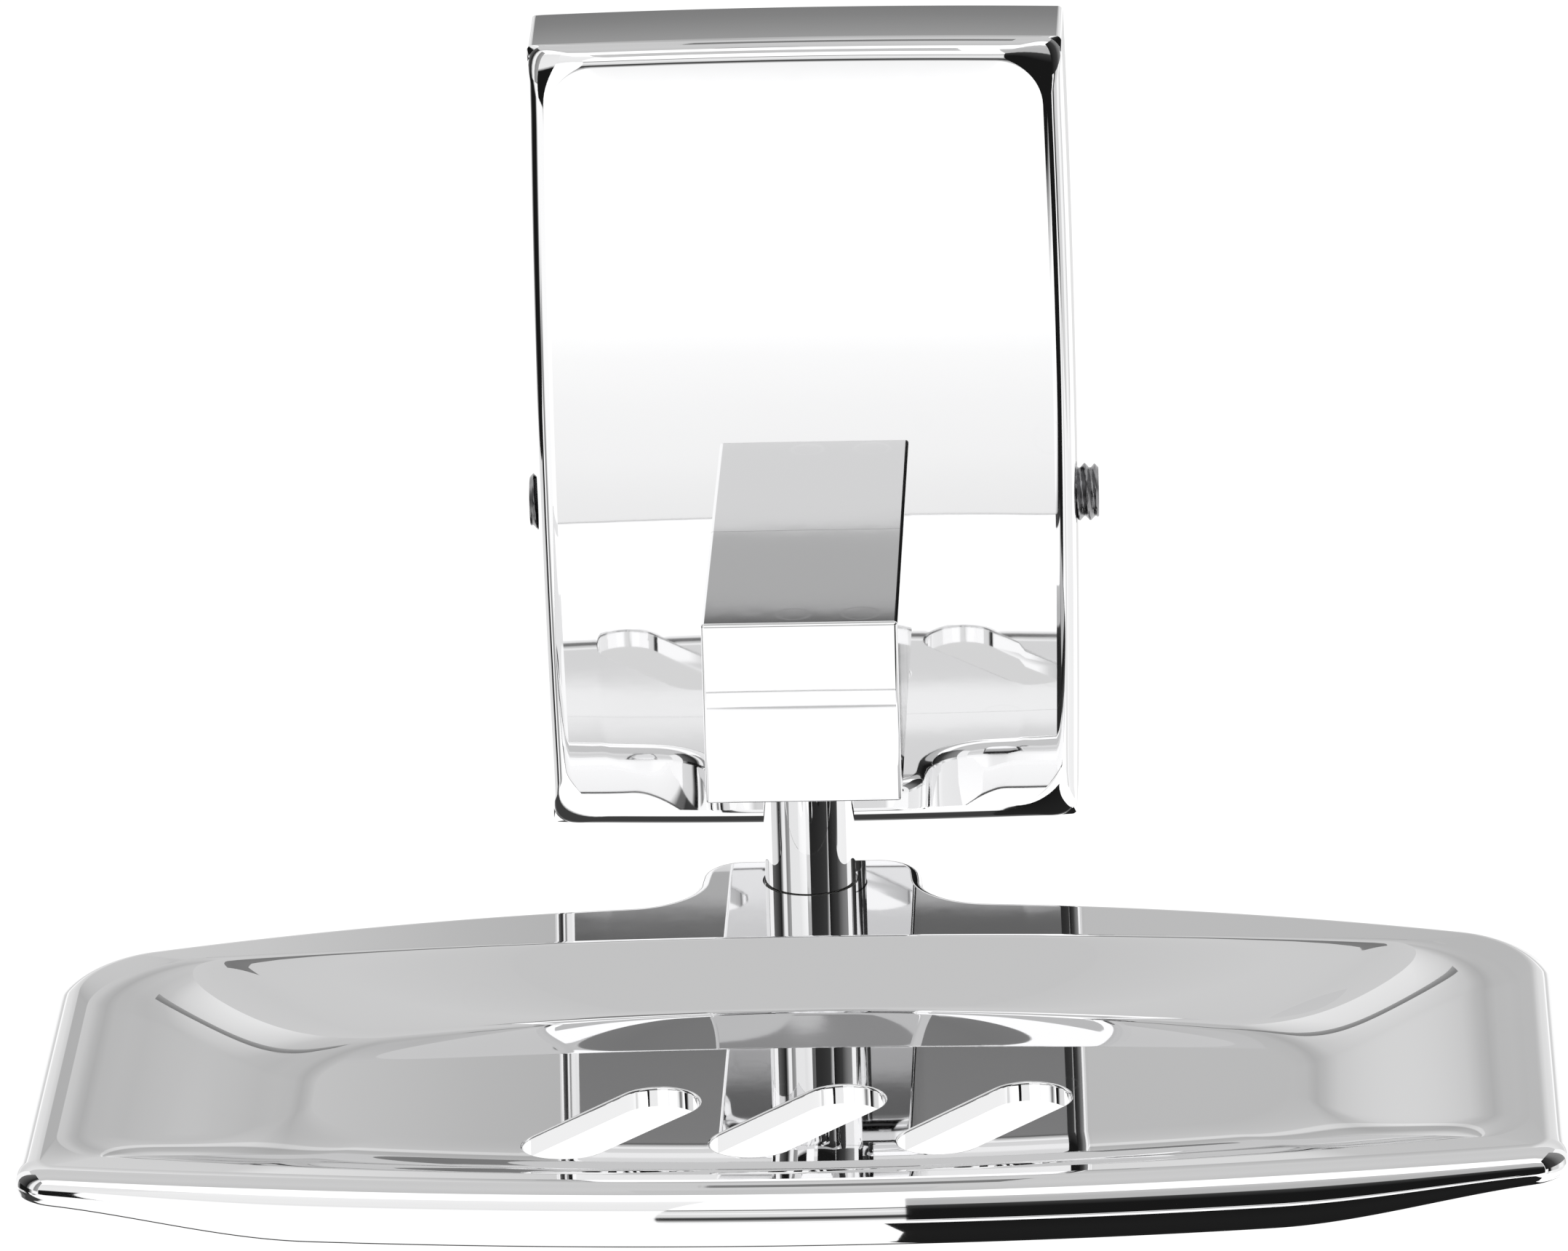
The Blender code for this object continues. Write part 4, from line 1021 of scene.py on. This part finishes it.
class SOAP_OT_arm(bpy.types.Operator):
    """Build the square arm with its blind holes, and the post below it"""

    bl_idname = "soap.arm"
    bl_label = "Arm and post"

    def execute(self, context):
        sizes = context.scene.soap_holder
        finish = context.scene.soap_finish
        plate = chrome("arm_chrome", finish, (0.8, 0.4, 0.1))
        inside = chrome("arm_cut_chrome", finish, (0.4, 0.8, 0.1))
        arm = surface("arm_bar", arm_rings(sizes), plate)
        post_place = (0, sizes.post_setback - sizes.arm_front, 0)
        low = -sizes.arm_drop - sizes.arm_height / 2
        radius, stud_bore = sizes.post_diameter / 2, 0.0027
        mouth, seat_top = radius + 0.0001, low + 0.0043
        seat = turned([
            (mouth, low - 0.001), (mouth, seat_top), (stud_bore, seat_top), (stud_bore, low + 0.0126),
        ])
        cut(arm, surface("post_seat", seat + post_place, inside))
        for rise, bore, depth in ((ARM_SCREW_RISE, 0.0027, 0.0098), (ARM_DOWEL_RISE, 0.0017, 0.0063)):
            hole = rod(bore, sizes.cover_depth - 0.001, sizes.cover_depth + depth)
            hole = aim(hole, (0, 0, rise - sizes.arm_drop), (0, -1, 0))
            cut(arm, surface("arm_fixing_seat", hole, inside))
        sharpen(arm)
        stands_for(arm, "wall_side", "arm_chrome", "arm")

        edge, spigot, screw_bore = 0.00025, 0.0027, 0.0017
        top, bore_floor, shoulder = low + 0.0040, low - 0.0041, dish_high.z - 0.0003
        spigot_low, bore_end = post_low.z, post_low.z + 0.0060
        outline = rounded_path([
            (0.0014, bore_floor), (stud_bore, bore_floor), (stud_bore, top), (radius, top),
            (radius, shoulder), (spigot, shoulder), (spigot, spigot_low), (screw_bore, spigot_low),
            (screw_bore, bore_end), (0.0009, bore_end),
        ], (0, 0, 0, edge, edge, 0, 0, 0, 0, 0), steps=6)
        post_finish = chrome("post_chrome", finish, (0.6, 0.9, 0.3), 90.0)
        post = surface("post_pin", turned(outline, 144) + post_place, post_finish)
        stands_for(post, "wall_side", "post_chrome", "post")
        return {"FINISHED"}


class SOAP_OT_grub_screws(bpy.types.Operator):
    """Build the two threaded grub screws in the sides of the cover"""

    bl_idname = "soap.grub_screws"
    bl_label = "Grub screws"

    def execute(self, context):
        sizes = context.scene.soap_fixing
        base = tuple(context.scene.soap_finish.grub)
        material = steel("grub_steel", base, (0.2, 0.6, 0.4), 0.24, 1100.0, 0.3)
        y, z = (grub_low.y + grub_high.y) / 2, (grub_low.z + grub_high.z) / 2
        for name, x, side in (("left", grub_left_low.x, -1), ("right", grub_high.x, 1)):
            rings = aim(grub_rings(sizes), (x, y, z), (side, 0, 0))
            screw = surface("grub_screw_" + name, rings, material)
            stands_for(screw, "wall_side", "grub_steel", "cover_grub_" + name)
        return {"FINISHED"}


class SOAP_OT_wall_fixings(bpy.types.Operator):
    """Build the wall screws with their cross recess, and the ribbed wall plugs"""

    bl_idname = "soap.wall_fixings"
    bl_label = "Wall screws and plugs"

    def execute(self, context):
        sizes = context.scene.soap_fixing
        finish = context.scene.soap_finish
        zinc = steel("screw_steel", tuple(finish.zinc), (0.7, 0.1, 0.9))
        recess = steel("recess_steel", tuple(finish.zinc), (0.1, 0.7, 0.9))
        grey = nylon("plug_nylon", tuple(finish.plug), (0.4, 0.2, 0.6))
        inwards = (0, 1, 0)
        for name in ("upper", "lower"):
            low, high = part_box("wall_screw_" + name)
            middle = (low + high) / 2
            place = (middle.x, low.y, middle.z)
            rings = aim(wall_screw_rings(sizes, high.y - low.y), place, inwards)
            screw = surface("wall_screw_turned_" + name, rings, zinc)
            cut(screw, surface("cross_recess", aim(cross_rings(), place, inwards), recess))
            sharpen(screw)
            stands_for(screw, "wall_side", "screw_steel", "wall_screw_" + name)
            low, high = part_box("wall_plug_" + name)
            rings = aim(plug_rings(sizes, high.y - low.y), (middle.x, low.y, middle.z), inwards)
            plug = surface("wall_plug_ribbed_" + name, rings, grey, closed=True)
            stands_for(plug, "wall_side", "plug_nylon", "wall_plug_" + name)
        return {"FINISHED"}


class SOAP_OT_inner_finishes(bpy.types.Operator):
    """Finish the bracket, washers, pins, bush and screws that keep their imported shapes"""

    bl_idname = "soap.inner_finishes"
    bl_label = "Inner parts' finishes"

    def execute(self, context):
        finish = context.scene.soap_finish
        zinc = tuple(finish.zinc)
        washer = steel("washer_steel", (0.58, 0.58, 0.59), (0.9, 0.3, 0.2), 0.30, 1500.0, 0.4)
        pin = steel("pin_steel", (0.56, 0.57, 0.58), (0.3, 0.9, 0.5), 0.22, 1200.0, 0.05)
        screw = steel("screw_steel", zinc, (0.7, 0.1, 0.9))
        finishes = {
            "wall_bracket": steel("bracket_steel", zinc, (0.5, 0.8, 0.1), 0.34, 500.0, 0.5),
            "arm_screw": screw, "swivel_screw": screw,
            "arm_washer": washer, "arm_lock_washer": washer, "wave_washer": washer, "swivel_washer": washer,
            "arm_dowel": pin, "post_stud": pin,
            "swivel_bush": nylon("bush_nylon", tuple(finish.bush), (0.2, 0.4, 0.8)),
        }
        for name, material in finishes.items():
            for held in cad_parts[name].material_slots:
                held.link = "OBJECT"
                held.material = material
        return {"FINISHED"}


def stage_tree(name):
    """A bare material tree with its output node."""
    material = bpy.data.materials.new(name)
    material.use_nodes = True
    tree = material.node_tree
    tree.nodes.remove(tree.nodes["Principled BSDF"])
    return material, tree, tree.nodes["Material Output"]


def seen(tree):
    """1 for rays from the camera and for mirrored or refracted ones, else 0."""
    path = node(tree, "LightPath").outputs
    gloss = maths(tree, "MAXIMUM", path["Is Glossy Ray"], path["Is Transmission Ray"])
    return maths(tree, "MAXIMUM", path["Is Camera Ray"], gloss)


def floor_material(pale):
    """Matt pale floor that shows white, and that can be looked through from below."""
    material, tree, out = stage_tree("studio_floor")
    matt = node(tree, "BsdfDiffuse", {"Color": (*pale, 1)})
    strength = maths(tree, "MULTIPLY", seen(tree), 0.55)
    glow = node(tree, "Emission", {"Color": (*pale, 1), "Strength": strength})
    both = node(tree, "AddShader", {0: matt.outputs[0], 1: glow.outputs[0]})
    back = node(tree, "NewGeometry").outputs["Backfacing"]
    clear = node(tree, "BsdfTransparent")
    shown = node(tree, "MixShader", {0: back, 1: both.outputs[0], 2: clear.outputs[0]})
    connect(out, {"Surface": shown.outputs[0]})
    return material


def card_material():
    """The cards' shared material: it glows as strongly as the card's own light attribute says."""
    material, tree, out = stage_tree("studio_card")
    light = node(tree, "Attribute", attribute_name="light").outputs["Fac"]
    glow = node(tree, "Emission", {"Strength": light})
    connect(out, {"Surface": glow.outputs[0]})
    return material


def add_card(name, material, low, high, axis, stops, sides=None):
    """A card that only mirror-like surfaces see.

    It spans the box from low to high, which has no depth along one axis. Along the given axis it is
    divided at the stops, (place, light) pairs, and across it at the sides, (place, share) pairs. The
    light at each crossing is the stop's light times the side's share, and changes evenly between them.
    """
    across = next(i for i in range(3) if i != axis and high[i] > low[i])
    places, lights = np.array(stops).T
    side_places, shares = np.array(sides or ((low[across], 1), (high[across], 1))).T
    columns = len(side_places)
    points = np.empty((len(stops), columns, 3))
    points[:] = low
    points[:, :, across] = side_places
    points[:, :, axis] = places[:, None]
    corner = (np.arange(len(stops) - 1)[:, None] * columns + np.arange(columns - 1)).reshape(-1, 1)
    faces = (corner + (0, 1, columns + 1, columns)).tolist()
    card = add_mesh(name, points.reshape(-1, 3), faces, material)
    light = np.outer(lights, shares).ravel()
    card.data.attributes.new("light", "FLOAT", "POINT").data.foreach_set("value", light)
    card.visible_camera = card.visible_diffuse = card.visible_shadow = card.visible_transmission = False


def add_lamp(name, place, target, size, power):
    """A round lamp that shines from its place at the target, and that mirrors don't show."""
    lamp = bpy.data.lights.new(name, "AREA")
    lamp.shape = "DISK"
    lamp.size = size
    lamp.energy = power
    held = add_object(name, lamp)
    held.location = place
    held.rotation_euler = (Vector(target) - Vector(place)).to_track_quat("-Z", "Y").to_euler()
    held.visible_glossy = False


class SOAP_OT_studio(bpy.types.Operator):
    """Set up the pale studio: camera, floor, lamps and the cards that the chrome mirrors"""

    bl_idname = "soap.studio"
    bl_label = "Studio"

    def execute(self, context):
        studio = context.scene.soap_studio
        scene = context.scene
        pale = tuple(studio.pale)

        data = bpy.data.cameras.new("photo_camera")
        data.sensor_width = 36.0
        data.lens = data.sensor_width * studio.zoom / PHOTO_WIDTH
        data.clip_start, data.clip_end = 0.05, 30.0
        camera = add_object("photo_camera", data)
        level = math.cos(studio.rise)
        back = Vector((math.sin(studio.turn) * level, -math.cos(studio.turn) * level, math.sin(studio.rise)))
        camera.location = Vector(studio.target) + back * studio.distance
        look = (-back).to_track_quat("-Z", "Y")
        camera.rotation_euler = (look @ Quaternion((0, 0, 1), -studio.roll)).to_euler()
        scene.camera = camera

        floor_z, reach = packed_box[0].z - studio.floor_drop, 6
        corners = [(x * reach, y * reach, floor_z) for x, y in ((-1, -1), (1, -1), (1, 1), (-1, 1))]
        add_mesh("floor", corners, [(0, 1, 2, 3)], floor_material(pale))

        glow = card_material()
        for name, *card in CARDS:
            add_card(name, glow, *card)

        middle = (0, -0.05, 0)
        add_lamp("key_lamp", (-0.2, -0.5, 1.2), middle, 1.0, studio.key)
        add_lamp("left_lamp", (-1.1, -0.6, 0.35), middle, 0.8, studio.fill)
        add_lamp("right_lamp", (1.1, -0.4, 0.35), middle, 0.8, studio.fill)
        add_lamp("low_lamp", (0.1, -0.7, -0.35), middle, 0.6, studio.fill * 0.6)

        world = bpy.data.worlds.new("studio_world")
        scene.world = world
        world.use_nodes = True
        tree = world.node_tree
        strength = maths(tree, "MULTIPLY_ADD", seen(tree), 0.5, 0.5)
        connect(tree.nodes["Background"], {"Color": (*pale, 1), "Strength": strength})
        scene.view_settings.view_transform = "Standard"
        return {"FINISHED"}


# Light of each card, as (place, light) stops from its low end to its high end. The front and the sides
# have several cards each, from left to right and from low to high.
FRONT_LIGHTS = (
    ((-0.50, 1.05), (-0.31, 1.05), (-0.28, 0.01), (0.25, 0.01), (0.33, 0.90), (1.20, 0.85)),
    ((-0.50, 1.10), (0.34, 1.10), (0.40, 0.85), (0.50, 0.90), (0.70, 0.90), (1.20, 0.95)),
    (
        (-0.50, 1.12), (-0.404, 1.12), (-0.402, 0.70), (-0.387, 0.70), (-0.384, 1.12), (-0.366, 1.12),
        (-0.365, 0.88), (-0.357, 0.92), (-0.352, 0.955), (-0.342, 0.98), (-0.332, 1.03), (-0.325, 1.12),
        (-0.258, 1.12), (-0.250, 0.87), (-0.150, 0.35), (-0.100, 0.05), (-0.020, 0.05), (0.050, 0.75),
        (0.150, 0.78), (0.180, 0.95), (0.240, 0.95), (0.250, 0.76), (0.308, 0.74), (0.3105, 0.98),
        (0.3285, 0.98), (0.3305, 0.74), (0.3475, 0.74), (0.3485, 0.46), (0.3635, 0.46), (0.3655, 0.13),
        (0.377, 0.14), (0.3805, 0.21), (0.402, 0.22), (0.410, 0.80), (0.440, 1.00), (0.450, 1.25),
        (1.20, 1.25),
    ),
    (
        (-0.50, 0.90), (-0.43, 0.90), (-0.415, 0.02), (-0.375, 0.02), (-0.36, 1.08), (-0.32, 1.08),
        (-0.295, 0.01), (0.25, 0.01), (0.50, 0.05), (0.55, 0.50), (0.80, 0.50), (1.20, 0.60),
    ),
    ((-0.50, 0.01), (0.25, 0.01), (0.50, 0.05), (0.55, 0.50), (0.80, 0.50), (1.20, 0.60)),
)
LEFT_LIGHTS = (
    (
        (-0.55, 1.05), (-0.47, 0.95), (-0.40, 0.35), (-0.33, 0.16), (-0.30, 0.60), (-0.27, 0.75),
        (-0.25, 1.10), (-0.20, 1.10), (-0.19, 0.01), (-0.11, 0.01), (-0.07, 0.25), (-0.03, 0.75),
        (0.20, 0.80),
    ),
    (
        (-0.55, 1.05), (-0.36, 1.05), (-0.31, 0.60), (-0.27, 0.15), (-0.22, 0.01), (0.08, 0.01),
        (0.13, 0.25), (0.20, 0.40),
    ),
    ((-0.55, 0.40), (-0.38, 0.25), (-0.34, 1.00), (-0.24, 0.90), (-0.20, 0.30), (-0.14, 0.01), (0.20, 0.15)),
)
RIGHT_LIGHTS = (
    ((-0.55, 1.05), (-0.45, 1.05), (-0.44, 0.85), (-0.36, 0.70), (-0.33, 1.05), (-0.20, 0.95), (0.20, 0.92)),
    (
        (-0.55, 1.08), (-0.46, 1.08), (-0.44, 0.15), (-0.41, 0.01), (-0.36, 0.01), (-0.32, 0.50),
        (-0.27, 0.70), (-0.12, 0.70), (-0.07, 1.00), (0.03, 1.00), (0.20, 0.55),
    ),
    ((-0.55, 0.01), (-0.20, 0.05), (0.0, 0.20), (0.20, 0.28)),
)
BACK_LIGHT = (
    (-0.50, 0.90), (0.02, 0.80), (0.06, 0.72), (0.10, 0.55), (0.155, 0.50), (0.17, 0.80), (0.20, 0.80),
    (0.21, 0.64), (0.28, 0.60), (0.40, 0.56), (0.60, 0.56), (0.90, 0.62), (1.20, 0.65),
)
BACK_SHARES = (
    (-1.2, 1.3), (-0.30, 1.3), (-0.20, 1.15), (-0.14, 1.05), (-0.10, 0.88), (-0.07, 0.80), (-0.03, 0.90),
    (0.03, 0.92), (0.08, 0.90), (0.14, 0.95), (0.19, 1.12), (0.28, 1.3), (1.2, 1.3),
)
TOP_LIGHT = ((-1.065, 1.22), (-0.45, 1.22), (-0.42, 0.58), (0.0, 0.64), (0.50, 0.62), (1.0, 0.64))
TOP_FLAG_LIGHT = ((0.23, 0.22), (0.40, 0.20), (0.53, 0.22))
TOP_FRONT_LIGHT = ((-0.40, 0.30), (-0.35, 0.30))
LOW_LEFT_LIGHT = (
    (-0.50, 1.10), (-0.20, 1.10), (-0.16, 0.05), (0.08, 0.05), (0.10, 0.13), (0.20, 0.16), (0.28, 1.0),
    (0.60, 1.1),
)
LOW_RIGHT_LIGHT = ((-0.50, 0.01), (0.08, 0.02), (0.10, 0.13), (0.20, 0.16), (0.28, 1.0), (0.60, 1.1))
SLOPE_LIGHT = ((-0.15, 0.585), (-0.09, 0.585))
COVER_LIGHT = ((0.068, 0.21), (0.071, 0.24), (0.074, 0.29), (0.078, 0.36))

# Where the cards stand. Each has a name, a low and a high corner, the axis of its stops and the stops;
# the back card also has shares across it.
NEAR, FAR, WIDE, LOW, HIGH = -1.065, 1.0, 1.2, -0.5, 1.2
BESIDE, CEILING, UNDER = 0.62, 1.19, -0.35
FRONT_EDGES = -WIDE, -0.5, -0.12, 0.04, 0.45, WIDE
SIDE_LEVELS = LOW, -0.2, 0, 0.75
CARDS = (
    *((f"front_card_{i}", (FRONT_EDGES[i], NEAR, LOW), (FRONT_EDGES[i + 1], NEAR, HIGH), 2, stops)
      for i, stops in enumerate(FRONT_LIGHTS)),
    *((f"{name}_flag_{i}", (x, -0.55, SIDE_LEVELS[i]), (x, 0.2, SIDE_LEVELS[i + 1]), 1, stops)
      for name, x, lights in (("left", -BESIDE, LEFT_LIGHTS), ("right", BESIDE, RIGHT_LIGHTS))
      for i, stops in enumerate(lights)),
    ("back_card", (-WIDE, FAR, LOW), (WIDE, FAR, HIGH), 2, BACK_LIGHT, BACK_SHARES),
    ("top_card", (-WIDE, NEAR, HIGH), (WIDE, FAR, HIGH), 1, TOP_LIGHT),
    ("top_flag", (-0.08, 0.23, CEILING), (0.04, 0.53, CEILING), 1, TOP_FLAG_LIGHT),
    ("top_front_flag", (-0.07, -0.40, CEILING), (-0.04, -0.35, CEILING), 1, TOP_FRONT_LIGHT),
    ("low_left_flag", (-0.6, -0.5, UNDER), (0.015, 0.6, UNDER), 1, LOW_LEFT_LIGHT),
    ("low_right_flag", (0.015, -0.5, UNDER), (0.24, 0.6, UNDER), 1, LOW_RIGHT_LIGHT),
    ("slope_flag", (-0.03, -0.150, 0.15), (0.015, -0.09, 0.15), 1, SLOPE_LIGHT),
    ("cover_flag", (-0.036, 0.1, 0.068), (0.03, 0.1, 0.078), 2, COVER_LIGHT),
)

MAKERS = (
    SOAP_OT_cover, SOAP_OT_arm, SOAP_OT_dish, SOAP_OT_grub_screws, SOAP_OT_wall_fixings,
    SOAP_OT_inner_finishes, SOAP_OT_studio,
)


class SOAP_PT_panel(bpy.types.Panel):
    """Lists the sizes, finishes and pieces of the soap dish"""

    bl_idname = "SOAP_PT_panel"
    bl_label = "Wall soap dish"
    bl_space_type = "VIEW_3D"
    bl_region_type = "UI"
    bl_category = "Soap Dish"

    def draw(self, context):
        layout = self.layout
        for title, name in GROUPS:
            box = layout.box()
            box.label(text=title)
            group = getattr(context.scene, name)
            for key in group.bl_rna.properties.keys():
                if key not in ("rna_type", "name"):
                    box.prop(group, key, text=key.replace("_", " ").capitalize())
        column = layout.column()
        for maker in MAKERS:
            column.operator(maker.bl_idname)


GROUPS = (
    ("Dish", "soap_dish"), ("Cover, arm and post", "soap_holder"), ("Fixings", "soap_fixing"),
    ("Finish", "soap_finish"), ("Studio", "soap_studio"),
)
PROPERTIES = (DishSizes, HolderSizes, FixingSizes, Finish, Studio)
CLASSES = PROPERTIES + MAKERS + (SOAP_PT_panel,)


def register():
    for item in CLASSES:
        bpy.utils.register_class(item)
    for (_, name), group in zip(GROUPS, PROPERTIES):
        setattr(bpy.types.Scene, name, bpy.props.PointerProperty(type=group))


def unregister():
    for _, name in GROUPS:
        delattr(bpy.types.Scene, name)
    for item in reversed(CLASSES):
        bpy.utils.unregister_class(item)


def main():
    register()
    bpy.ops.soap.cover()
    bpy.ops.soap.arm()
    bpy.ops.soap.dish()
    bpy.ops.soap.grub_screws()
    bpy.ops.soap.wall_fixings()
    bpy.ops.soap.inner_finishes()
    bpy.ops.soap.studio()


if __name__ == "__main__":
    main()
